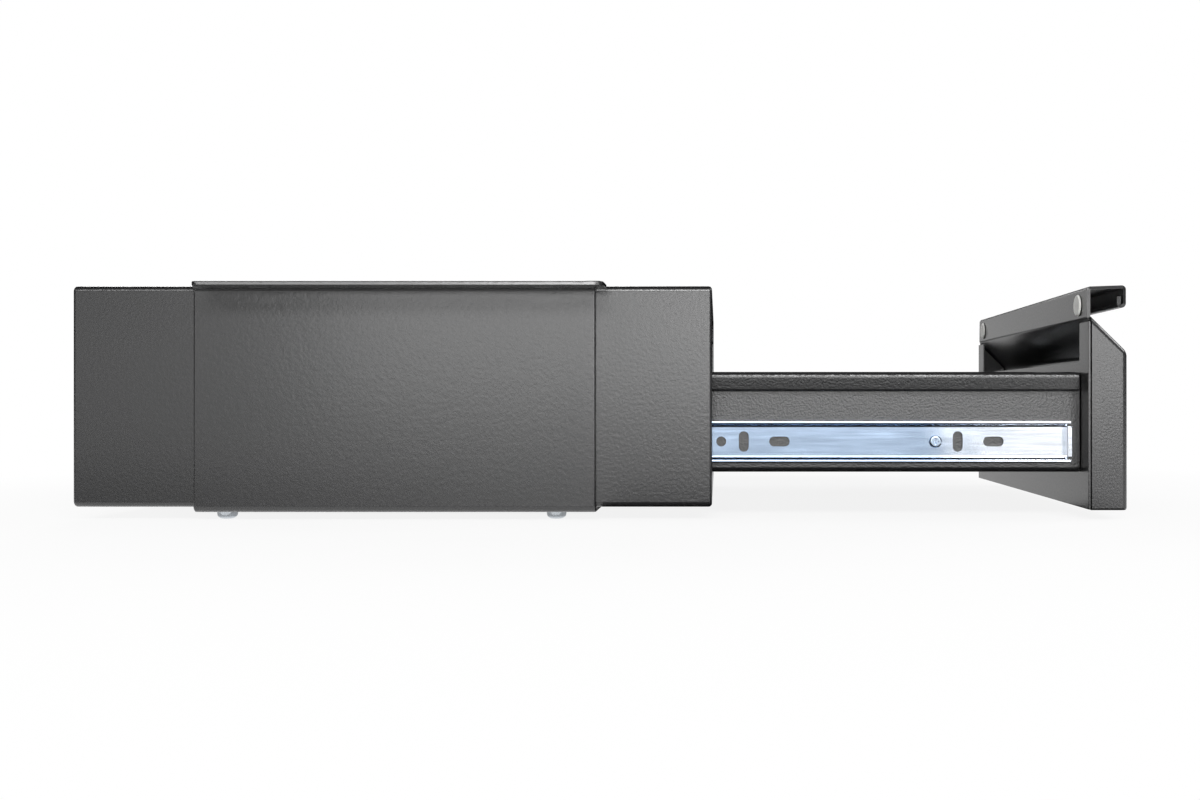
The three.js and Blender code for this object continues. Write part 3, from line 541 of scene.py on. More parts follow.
def zinc_plate(name, tint):
    """Bright zinc plate with a blue passivation on cold-rolled strip: a mirror softened by the
    rolling lines along the strip, and clouded. Its front end is painted pale, a painted reflection.
    The lines are drawn about 1 mm wide, because real ones of 0.05 mm are too fine to show."""
    material, ready = start_material(name)
    if ready:
        return material
    dark, light = shades(tint, 0.2)
    place = {"Vector": (add_node(material, "TexCoord"), "Object")}
    along = add_node(material, "Mapping", {"Scale": (40.0, 900.0, 900.0)}, place)
    rolling = add_node(material, "TexNoise", {"Scale": 1.0, "Detail": 3.0}, {"Vector": (along, "Vector")})
    clouds = add_node(material, "TexNoise", {"Scale": 40.0, "Detail": 3.0}, place)
    tones = {"data_type": "RGBA", 6: dark, 7: light}
    film = add_node(material, "Mix", tones, {0: (clouds, "Fac")})
    # Where X passes about 0.15 to 0.2 m, towards the front, the blue is mixed into a pale, nearly white
    # colour: a painted reflection of the lamps, with an edge made ragged by the clouds
    parts = add_node(material, "SeparateXYZ", {}, place)
    both = {0: (clouds, "Fac"), 2: (parts, "X")}
    painted_reflection_edge = add_node(material, "Math", {"operation": "MULTIPLY_ADD", 1: 0.05}, both)
    painted_reflection_fade = {"interpolation_type": "SMOOTHSTEP", "From Min": 0.15, "From Max": 0.2}
    painted_reflection_mask = add_node(material, "MapRange", painted_reflection_fade, {"Value": (painted_reflection_edge, 0)})
    # The pale colour of the painted reflection at the front
    clear = {"data_type": "RGBA", 7: srgb("#e2e7ef")}
    base = add_node(material, "Mix", clear, {0: (painted_reflection_mask, "Result"), 6: (film, 2)})
    shine = {**NOISE_RANGE, "To Min": 0.1, "To Max": 0.16}
    gloss = add_node(material, "MapRange", shine, {"Value": (rolling, "Fac")})
    heights = {"Strength": 0.2, "Distance": 0.01 * MM}
    lines = add_node(material, "Bump", heights, {"Height": (rolling, "Fac")})
    links = {"Base Color": (base, 2), "Roughness": (gloss, "Result"), "Normal": (lines, "Normal")}
    return complete(material, {"Metallic": 1.0}, links)


def bare_steel(tint):
    """Ground and oiled steel: grey, with fine scratches that blur what it mirrors. They are drawn
    0.7 mm wide, because real ones are too fine to show."""
    textures = {
        "scratches": ("TexNoise", {"Scale": 1.0, "Detail": 4.0}, (1500.0, 1500.0, 120.0)),
        "clouds": ("TexNoise", {"Scale": 90.0, "Detail": 3.0}, None),
    }
    relief = ("scratches", {"Strength": 0.5, "Distance": 0.01 * MM})
    gloss = ("scratches", 0.28, 0.42)
    return finish("bare_steel_oiled", tint, 0.12, textures, "clouds", gloss, relief, {"Metallic": 1.0})


def satin_chrome(tint):
    """Chrome over blasted zinc alloy: cool and even, with a sheen instead of a mirror. The pits
    are drawn 0.4 mm wide, because real ones of 0.05 mm are too fine to show."""
    textures = {
        "blasting": ("TexNoise", {"Scale": 2600.0, "Detail": 2.0}, None),
        "clouds": ("TexNoise", {"Scale": 120.0, "Detail": 2.0}, None),
    }
    relief = ("blasting", {"Strength": 0.35, "Distance": 0.01 * MM})
    gloss = ("clouds", 0.2, 0.28)
    return finish("satin_chrome", tint, 0.05, textures, "clouds", gloss, relief, {"Metallic": 1.0})


def clear_rubber(tint):
    """Cast silicone: milky, with a soft skin that lets some light through."""
    textures = {"clouds": ("TexNoise", {"Scale": 260.0, "Detail": 2.0}, None)}
    relief = ("clouds", {"Strength": 0.3, "Distance": 0.02 * MM})
    settings = {
        "Roughness": 0.38,
        "IOR": 1.41,
        "Subsurface Weight": 0.35,
        "Subsurface Radius": (0.6, 0.6, 0.6),
        "Subsurface Scale": 1.5 * MM,
    }
    return finish("silicone_milky", tint, 0.05, textures, "clouds", None, relief, settings)


def liner_foam(tint):
    """Closed-cell polyethylene foam: split cells make a dull, pitted skin, and the pits are painted
    darker, a painted shade. They are drawn 0.9 mm wide, because real ones of 0.6 mm are too fine to show."""
    textures = {
        "cells": ("TexVoronoi", {"Scale": 1 / (0.9 * MM)}, None),
        "clouds": ("TexNoise", {"Scale": 60.0, "Detail": 3.0}, None),
    }
    relief = ("cells", {"Strength": 0.6, "Distance": 0.2 * MM, "invert": True})
    gloss = ("clouds", 0.8, 0.95)
    # The cells' texture also sets the colour: darker in the relief's low parts, a painted shade
    return finish("foam_closed_cell", tint, -0.35, textures, "cells", gloss, relief, {"IOR": 1.45})


def plate_enamel(name, tint):
    """Stoved enamel on a die-cast plate: deep and glossy, with the casting's slight waves."""
    textures = {"waves": ("TexNoise", {"Scale": 350.0, "Detail": 2.0}, None)}
    relief = ("waves", {"Strength": 0.5, "Distance": 0.02 * MM})
    return finish(name, tint, 0.1, textures, "waves", ("waves", 0.26, 0.34), relief, {"IOR": 1.52})


def dress(piece, body, slot, material, *nodes, smooth=32):
    """Gives a finished piece its material and shading, and its body and nodes in the frame."""
    pick(piece)
    piece.data.materials.clear()
    piece.data.materials.append(material)
    bpy.ops.object.shade_smooth_by_angle(angle=math.radians(smooth))
    modify(piece, "WEIGHTED_NORMAL", mode="FACE_AREA", weight=50, keep_sharp=True)
    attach(piece, body)
    if nodes:
        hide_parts(*nodes)


def recoat(node, material):
    """A node that keeps its own shape gets a finish of its own."""
    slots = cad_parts[node].data.materials
    slots.clear()
    slots.append(material)


# Pieces


def bracket_screw_holes(floor):
    """The four punches through the bracket or the case, from just under its floor."""
    nodes = [f"bracket_screw_{end}_{side}" for end, side in CORNERS]
    return [drill(node, 2, floor - MM, floor + 3 * MM, 2.8 * MM, 32) for node in nodes]


class SAFE_OT_case(bpy.types.Operator):
    """Builds the case: the folded tube, the rear pan and the frame round the mouth"""

    bl_idname = "safe.case"
    bl_label = "Case"

    def execute(self, context):
        sizes = context.scene.safe_sizes
        finish_coat = coat(context, "case")
        headroom = Vector((0, 0, 0.6 * MM))  # how much higher the top stands than in the CAD
        corner = 1.0 * MM
        low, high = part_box("case_wrap")
        high += headroom
        tube = block("case_tube", low, high)
        edit(tube)
        remove_faces(lambda f: abs(f.normal.x) > 0.9)
        bevel_edges(lambda e: runs(e, 0), sizes.case_bend, 6)
        done()
        thicken(tube, sizes.case_sheet, -1.0)
        inside = Vector((0, 0, (low.z + high.z) / 2))

        def outer(face):
            return abs(face.normal.x) < 0.1 and face.normal.dot(middle(face) - inside) > 0

        for end in (low.x, high.x):
            edit(tube)
            choose("edges", lambda e: lies_at(0, end)(e) and any(outer(f) for f in e.link_faces))
            bevel(sizes.rim_round, 4)
            done()
        soften(tube, sizes.sheet_edge)
        cut(tube, *bracket_screw_holes(low.z))
        dress(tube, "case", "powder_coat", finish_coat, "case_wrap")

        low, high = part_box("case_rear_panel")
        pan = block("rear_pan", low, high + headroom)
        edit(pan)
        remove_faces(lambda f: f.normal.x > 0.9)
        bevel_edges(lambda e: runs(e, 0), corner, 4)
        done()
        thicken(pan, sizes.case_sheet, -1.0)
        soften(pan, 2 * sizes.sheet_edge, 3)
        dress(pan, "case", "powder_coat", finish_coat, "case_rear_panel")

        low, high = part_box("mouth_frame")
        high += headroom
        lip = block("mouth_surround", low, high)
        round_long_edges(lip, corner)
        tray_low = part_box("drawer_tray")[0].z
        side_strip, top_strip = 1.8 * MM, 12 * MM
        opening = block(
            "opening",
            (low.x - MM, low.y + side_strip, tray_low - 2 * MM),
            (high.x + MM, high.y - side_strip, high.z - top_strip),
        )
        round_long_edges(opening, corner)
        cut(lip, opening)
        soften(lip, sizes.sheet_edge)
        dress(lip, "case", "powder_coat", finish_coat, "mouth_frame")
        return {"FINISHED"}


class SAFE_OT_bracket(bpy.types.Operator):
    """Builds the cradle that holds the case, with its two slotted desk flanges"""

    bl_idname = "safe.bracket"
    bl_label = "Mounting bracket"

    def execute(self, context):
        sizes = context.scene.safe_sizes
        low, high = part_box("mounting_bracket")
        half = sizes.case_sheet / 2
        web = 114.3 * MM + half
        fold = sizes.bracket_fold + half
        rear, front = low.x, high.x - 5 * MM  # the flange alone reaches 5 mm past the cradle's front
        flange_rear = rear + 6 * MM
        top = high.z - 0.4 * MM
        flange = top - half
        line = [
            (low.y, flange),
            (-web, flange),
            (-web, low.z + half),
            (web, low.z + half),
            (web, flange),
            (high.y, flange),
        ]
        cradle = folded_sheet("desk_cradle", 0, (rear, front), line, [fold] * 4)
        beyond = web + fold - 0.1 * MM
        edit(cradle)
        choose("faces", lambda f: abs(middle(f).y) > beyond)
        bpy.ops.mesh.bisect(plane_co=(flange_rear, 0, 0), plane_no=(1, 0, 0))
        remove_faces(lambda f: abs(middle(f).y) > beyond and middle(f).x < flange_rear)
        choose("edges", lambda e: runs(e, 1) and abs(middle(e).y) > beyond and near(middle(e).x, front))
        extrude((high.x - front, 0, 0))
        choose("verts", lambda v: near(abs(v.co.y), high.y))
        bevel(3 * MM, 6, "VERTICES")
        done()
        facing_out(cradle)
        thicken(cradle, sizes.case_sheet)
        edit(cradle)

        def upright(edge):
            x, y, _ = middle(edge)
            return runs(edge, 2) and near(abs(y), web + half) and not rear + MM < x < front - MM

        bevel_edges(upright, sizes.bracket_upright, 4)
        for sign in SIDES.values():  # the flange's outer edge leans in a little towards its top
            choose("verts", lambda v: near(v.co.y, sign * high.y, 0.1 * MM) and near(v.co.z, top))
            bpy.ops.transform.translate(value=(0, -sign * 0.45 * MM, 0))
        done()
        soften(cradle, sizes.bracket_edge, 3)
        cutters = []
        for sign in SIDES.values():
            y = sign * (web + half + sizes.bracket_fold + high.y) / 2
            for x in (rear + 32 * MM, high.x - 26 * MM):
                desk_screw_slot = (12 * MM, 5.4 * MM, (0, 0, 2 * MM))
                cutters.append(slot_cutter("slot", (x, y, flange), (1, 0, 0), *desk_screw_slot))
        cut(cradle, *cutters, *bracket_screw_holes(low.z))
        dress(cradle, "case", "powder_coat", coat(context, "bracket"), "mounting_bracket")
        return {"FINISHED"}


class SAFE_OT_bracket_screws(bpy.types.Operator):
    """Builds one pan-head screw and one nut, and copies them to the bracket's four holes"""

    bl_idname = "safe.bracket_screws"
    bl_label = "Bracket screws"

    def execute(self, context):
        zinc = zinc_plate("zinc_plate_clear", context.scene.safe_colours.screws)
        x, y, _ = centre("bracket_screw_front_near")
        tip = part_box("bracket_screw_front_near")[1].z
        head, radii = 3.45 * MM, (4.5 * MM, 2.3 * MM)
        dome, recess = (1.9 * MM, 6), (2.1 * MM, 2.7 * MM)
        screw = pan_head_screw(
            "screw", (x, y, 0), 2, tip, head, radii, dome, recess, sides=48, point=0.5 * MM, face=0.9
        )
        nut_low, nut_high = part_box("bracket_nut_front_near")
        across_flats = 8 * MM
        nut_radius = across_flats / 2 / math.cos(math.pi / 6)
        nut = rod("nut", (x, y, nut_low.z), (x, y, nut_high.z), nut_radius, 6)
        edit(nut)
        choose_all()
        bpy.ops.transform.rotate(value=math.radians(30), orient_axis="Z", center_override=(x, y, 0))
        done()
        cone = rod("chamfer", (x, y, nut_low.z - MM), (x, y, nut_high.z + MM), 4.45 * MM, 48)
        soften(cone, 1.6 * MM, 1)
        modify(nut, "BOOLEAN", operation="INTERSECT", object=cone, solver="EXACT")
        bpy.data.objects.remove(cone)
        cut(nut, rod("bore", (x, y, nut_low.z - MM), (x, y, nut_high.z + MM), 2.65 * MM, 32))
        for end, side in CORNERS:
            to_x, to_y, _ = centre(f"bracket_screw_{end}_{side}")
            for piece, name, node in ((screw, "pan_head_screw", "screw"), (nut, "hex_nut", "nut")):
                copy = moved(copy_of(piece, f"{name}_{end}_{side}"), (to_x - x, to_y - y, 0))
                dress(copy, "case", "zinc_plate", zinc, f"bracket_{node}_{end}_{side}")
        bpy.data.objects.remove(screw)
        bpy.data.objects.remove(nut)
        return {"FINISHED"}


class SAFE_OT_slides(bpy.types.Operator):
    """Builds the near side's ball slide, with its screws, and mirrors it to the far side"""

    bl_idname = "safe.slides"
    bl_label = "Ball slides"

    def execute(self, context):
        sizes, colours = context.scene.safe_sizes, context.scene.safe_colours
        zinc, steel = zinc_plate("zinc_plate_blue", colours.zinc), bare_steel(colours.steel)
        half = sizes.slide_sheet / 2
        low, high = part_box("slide_drawer_member_near")
        web = high.y - half
        race = sizes.slide_race + half
        edge = 109.1 * -MM
        height = (low.z + high.z) / 2
        line = [(edge, high.z - half), (web, high.z - half), (web, low.z + half), (edge, low.z + half)]
        end = high.x - 1.5 * MM
        member = folded_sheet("slide_inner_near", 0, (low.x, end), line, [race] * 2)
        thicken(member, sizes.slide_sheet)
        soften(member, sizes.sheet_edge)
        tab_low = (end - 1.4 * MM, web - half - 4.4 * MM, height - 7 * MM)
        tab = block("tab", tab_low, (end + 1.0 * MM, web, height + 7 * MM))
        soften(tab, 0.5 * MM, 3)
        lug = block("lug", (low.x, low.y, height - 3 * MM), (low.x + 1.2 * MM, web, height + 3 * MM))
        soften(lug, 0.3 * MM, 2)
        weld(member, tab, lug)
        cutters = []
        hole_pitch, slot_size = 96 * MM, (9.2 * MM, 4.5 * MM, (0, 2 * MM, 0))
        for group in range(2):
            front = high.x - group * hole_pitch
            for back, way in ((34.9 * MM, (1, 0, 0)), (50.9 * MM, (0, 0, 1))):
                cutters.append(slot_cutter("slot", (front - back, web, height), way, *slot_size))
            x = front - 61 * MM
            cutters.append(rod("hole", (x, web - MM, height), (x, web + MM, height), 2.25 * MM, 32))
        cut(member, *cutters)

        low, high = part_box("slide_cabinet_member_near")
        web = low.y + half
        edge = high.y - half
        turned_in = 0.9 * MM + half
        line = [
            (edge, high.z - half - turned_in),
            (edge, high.z - half),
            (web, high.z - half),
            (web, low.z + half),
            (edge, low.z + half),
            (edge, low.z + half + turned_in),
        ]
        lip_bend = 0.75 * MM
        radii = [lip_bend, race, race, lip_bend]
        outer = folded_sheet("slide_outer_near", 0, (low.x, high.x), line, radii)
        thicken(outer, sizes.slide_sheet)
        soften(outer, sizes.sheet_edge)
        stop_low = (high.x - 1.2 * MM, web, height - 3 * MM)
        stop = block("stop", stop_low, (high.x, web + half + 1.4 * MM, height + 3 * MM))
        soften(stop, 0.3 * MM, 2)
        weld(outer, stop)

        low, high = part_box("ball_retainer_near")
        cage_half = 0.35 * MM
        web = low.y + cage_half
        row = ((27 / 2 - 1.2) + 18.4 / 2) / 2 * MM  # midway between the members that the balls run in
        line = [(high.y, height + row), (web, height + row), (web, height - row), (high.y, height - row)]
        cage = folded_sheet("ball_cage_near", 0, (low.x, high.x), line, [0.7 * MM] * 2)
        thicken(cage, 2 * cage_half)
        soften(cage, 0.12 * MM, 1)
        in_row = 6
        spacing = (high.x - low.x) / in_row
        ball_y = (low.y + high.y) / 2 + 0.2 * MM
        balls = []
        for i in range(in_row):
            for sign in (-1, 1):
                place = (low.x + (i + 0.5) * spacing, ball_y, height + sign * row)
                deselect()
                bpy.ops.mesh.primitive_uv_sphere_add(
                    segments=20, ring_count=12, radius=1.5 * MM, location=place
                )
                balls.append(named("ball"))
        weld(cage, *balls)

        low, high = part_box("slide_screw_front_near")
        x = centre("slide_screw_front_near")[0]
        face = (x, low.y, height)
        radii, dome, recess = (2.8 * MM, 1.5 * MM), (0.8 * MM, 5), (1.2 * MM, 1.8 * MM)
        screw = pan_head_screw(
            "slide_fixing_front_near", face, 1, high.y, 1.3 * MM, radii, dome, recess, point=0.4 * MM
        )
        rear_x = centre("slide_screw_rear_near")[0]
        rear = moved(copy_of(screw, "slide_fixing_rear_near"), (rear_x - x, 0, 0))

        for piece, body, slot, plating, node in (
            (member, "drawer", "zinc_plate", zinc, "slide_drawer_member"),
            (outer, "case", "zinc_plate", zinc, "slide_cabinet_member"),
            (cage, "retainer", "bare_steel", steel, "ball_retainer"),
            (screw, "drawer", "zinc_plate", zinc, "slide_screw_front"),
            (rear, "drawer", "zinc_plate", zinc, "slide_screw_rear"),
        ):
            far = mirrored(piece, piece.name.replace("near", "far"))
            for side, one in (("near", piece), ("far", far)):
                on = f"retainer_{side}" if body == "retainer" else body
                dress(one, on, slot, plating, f"{node}_{side}")
        return {"FINISHED"}


class SAFE_OT_tray(bpy.types.Operator):
    """Builds the drawer's tray, with its folded lips, and the foam liner on its floor"""

    bl_idname = "safe.tray"
    bl_label = "Tray and liner"

    def execute(self, context):
        sizes, colours = context.scene.safe_sizes, context.scene.safe_colours
        half = sizes.tray_sheet / 2
        low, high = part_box("drawer_tray")
        lip = high.y - half
        side = high.y - 5.5 * MM - half
        fold = sizes.tray_fold + half
        drop = 8.0 * MM
        leaning = drop * math.tan(math.radians(10))
        hem = 2 * sizes.tray_hem
        near_side = [
            (leaning - lip + hem - 0.5 * MM, high.z - drop + 3.2 * MM),
            (leaning - lip + hem, high.z - drop),
            (leaning - lip, high.z - drop),
            (-lip, high.z - half),
            (-side, high.z - half),
            (-side, low.z + half),
        ]
        line = near_side + [(-y, z) for y, z in near_side[::-1]]
        lip_folds = [sizes.lip_roll + half, sizes.lip_fold + half]
        near_radii = [sizes.tray_hem, sizes.tray_hem, *lip_folds, fold]
        radii = near_radii + near_radii[::-1]
        tray = folded_sheet("tray_box", 0, (low.x, high.x), line, radii)
        edit(tray)
        back = high.x - 1.7 * MM
        choose("faces", lambda f: abs(middle(f).y) > side + half)
        bpy.ops.mesh.bisect(plane_co=(back, 0, 0), plane_no=(1, 0, 0))
        remove_faces(lambda f: abs(middle(f).y) > side + half and middle(f).x > back)
        done()
        thicken(tray, sizes.tray_sheet)
        soften(tray, sizes.sheet_edge)
        ends = []
        for x0, x1 in ((low.x, low.x + 1.2 * MM), (high.x - 1.2 * MM, high.x)):
            wall = block("wall", (x0, -side, low.z + half), (x1, side, high.z))
            round_long_edges(wall, sizes.tray_fold)
            soften(wall, sizes.sheet_edge)
            ends.append(wall)
        weld(tray, *ends)
        bolt_low, bolt_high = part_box("bolt")
        room = 0.5 * MM
        slot_hole = block(
            "bolt_slot",
            (bolt_low.x - room, bolt_low.y - room, low.z - MM),
            (bolt_high.x + room, bolt_high.y + room, low.z + 2 * MM),
        )
        holes = [slot_hole, drill("spindle", 0, high.x - 3 * MM, high.x + MM, 6 * MM, 48)]
        for end, name in CORNERS:
            inner, outer = SIDES[name] * (side - 2 * MM), SIDES[name] * (side + 2 * MM)
            holes.append(drill(f"slide_screw_{end}_{name}", 1, inner, outer, SCREW_HOLE))
        for number in COVER_SCREWS:
            holes.append(drill(f"bolt_cover_screw_{number}", 0, high.x - 3 * MM, high.x + MM, SCREW_HOLE))
        cut(tray, *holes)
        dress(tray, "drawer", "powder_coat", coat(context, "tray"), "drawer_tray")

        low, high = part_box("tray_foam")
        foam = block("foam_liner", low, high)
        edit(foam)
        bevel_edges(lambda e: runs(e, 2), 3 * MM, 6)
        choose("faces", lambda f: abs(f.normal.z) > 0.9)
        inset(2 * MM, use_individual=True)
        choose(
            "edges",
            lambda e: (lies_at(2, low.z)(e) or lies_at(2, high.z)(e))
            and any(abs(f.normal.z) < 0.1 for f in e.link_faces),
        )
        bevel(1.0 * MM, 4)
        done()
        dress(foam, "drawer", "liner_foam", liner_foam(colours.foam), "tray_foam")
        return {"FINISHED"}


class SAFE_OT_front(bpy.types.Operator):
    """Builds the drawer's front: the welded box with its finger pull, the back pan and the bumpers"""

    bl_idname = "safe.front"
    bl_label = "Drawer front"

    def execute(self, context):
        sizes, colours = context.scene.safe_sizes, context.scene.safe_colours
        finish_coat = coat(context, "front")
        low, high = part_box("front_shell")
        rear = low.x + 1.5 * MM
        face_top = low.z + 69.95 * MM
        slope_top = low.z + 85.54 * MM
        pull_rear = high.z - 1.55 * MM
        pull_front = high.z - 1.05 * MM
        lip = high.x - 1.5 * MM
        hem = lip - 1.0 * MM
        lip_low = high.z - 8.0 * MM
        hem_top = high.z - 4.5 * MM
        shell = block("front_box", (rear, low.y, low.z), (high.x, high.y, slope_top))
        edit(shell)
        choose("verts", lambda v: near(v.co.x, high.x) and near(v.co.z, slope_top))
        bpy.ops.transform.translate(value=(0, 0, face_top - slope_top))
        bevel_edges(lambda e: middle(e).z > low.z + MM and not near(middle(e).x, rear), sizes.front_edge, 6)
        bevel_edges(lambda e: lies_at(2, low.z)(e) and not near(middle(e).x, rear), sizes.front_foot, 4)
        remove_faces(lambda f: f.normal.x < -0.9)
        stops = [(pull_rear, rear), (pull_front, lip), (lip_low, lip), (lip_low, hem), (hem_top, hem)]
        at = Vector((rear, 0, slope_top))
        choose("edges", lambda e: runs(e, 1) and near(middle(e).x, rear) and near(middle(e).z, slope_top))
        for up, across in stops:
            extrude((across - at.x, 0, up - at.z))
            at = Vector((across, 0, up))
        folds = [
            ((rear, slope_top), 0.4, 48),
            ((rear, pull_rear), 0.4, 88),
            ((lip, pull_front), 0.4, 92),
            ((lip, lip_low), 0.49, 90),
            ((hem, lip_low), 0.49, 90),
        ]
        for (x, z), radius, turn in folds:
            choose("edges", lambda e: runs(e, 1) and near(middle(e).x, x) and near(middle(e).z, z))
            bevel(radius * MM * math.tan(math.radians(turn / 2)), 5)
        done()
        facing_out(shell)
        edit(shell)
        mesh = bmesh.from_edit_mesh(shell.data)
        face = max(mesh.faces, key=lambda f: f.calc_area())
        if face.normal.x < 0:
            bpy.ops.mesh.flip_normals()
        done()
        thicken(shell, sizes.front_sheet, -1.0)
        hood_end = high.y - sizes.front_edge

        def on_outside(x, z):
            """Whether a point of the hood's profile is on the face of the sheet that shows."""
            by_hem = x > hem - 2 * MM
            return (
                x < rear - 0.5 * MM
                or x > lip + 0.5 * MM
                or z > high.z - 0.55 * MM
                or by_hem and z < lip_low - 0.5 * MM
                or by_hem and x < hem - 0.5 * MM and z < hem_top + 0.5 * MM
            )

        edit(shell)
        for sign in SIDES.values():
            choose(
                "verts",
                lambda v: near(v.co.y, sign * hood_end)
                and v.co.z > slope_top + 0.7 * MM
                and on_outside(v.co.x, v.co.z),
            )
            bpy.ops.transform.translate(value=(0, -sign * sizes.front_cut_slant, 0))
        done()
        soften(shell, sizes.sheet_edge, clamped=True)
        through = (0, high.x - 3 * MM, high.x + MM)
        holes = [drill(f"button_{number}", *through, 2.3 * MM) for number in BUTTONS]
        holes.append(drill("spindle", *through, 4.3 * MM, 48))
        holes += [drill(f"lock_screw_{number}", *through, 1.8 * MM) for number in LOCK_SCREWS]
        cut(shell, *holes)
        dress(shell, "drawer", "powder_coat", finish_coat, "front_shell")

        low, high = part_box("front_back_pan")
        plate = 1.2 * MM
        post, middle_top = 13.6 * MM, low.z + 65.4 * MM
        pan = block("back_pan", (low.x, low.y, low.z), (low.x + plate, high.y, middle_top))
        edit(pan)
        for across in (low.y + post, high.y - post):
            choose_all()
            bpy.ops.mesh.bisect(plane_co=(0, across, 0), plane_no=(0, 1, 0))
        choose("faces", lambda f: f.normal.z > 0.9 and abs(middle(f).y) > high.y - post)
        extrude((0, 0, high.z - middle_top))
        done()
        flanges = []
        for sign in SIDES.values():
            start, end = sorted((sign * 110.6 * MM, sign * 111.8 * MM))
            flange_low = (low.x + plate / 2, start, low.z + 1.8 * MM)
            flanges.append(block("flange", flange_low, (high.x, end, middle_top)))
        soften(pan, sizes.sheet_edge)
        weld(pan, *flanges)
        # The spindle's hole is at the line of a post and not at the spindle: a known fault
        y, z = high.y - post, centre("spindle")[2]
        holes = [rod("hole", (low.x - MM, y, z), (low.x + 3 * MM, y, z), 6 * MM, 48)]
        for number in COVER_SCREWS:
            holes.append(drill(f"bolt_cover_screw_{number}", 0, low.x - MM, low.x + 3 * MM, SCREW_HOLE))
        cut(pan, *holes)
        dress(pan, "drawer", "powder_coat", finish_coat, "front_back_pan")

        low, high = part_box("bumper_near")
        _, y, z = centre("bumper_near")
        skin = low.x + 0.7 * MM
        bumper = rod("bumper_dome_near", (skin, y, z), (high.x, y, z), (high.z - low.z) / 2, 48)
        edit(bumper)
        choose("verts", lambda v: near(v.co.x, skin))
        bpy.ops.transform.resize(value=(1, 0.92, 0.92), center_override=(skin, y, z))
        bevel_edges(lambda e: not runs(e, 0) and near(middle(e).x, skin), 0.3 * MM, 3)
        bevel_edges(lies_at(0, high.x), 0.2 * MM, 2)
        done()
        rubber = clear_rubber(colours.rubber)
        far = mirrored(bumper, "bumper_dome_far")
        dress(bumper, "drawer", "clear_rubber", rubber, "bumper_near")
        dress(far, "drawer", "clear_rubber", rubber, "bumper_far")
        return {"FINISHED"}


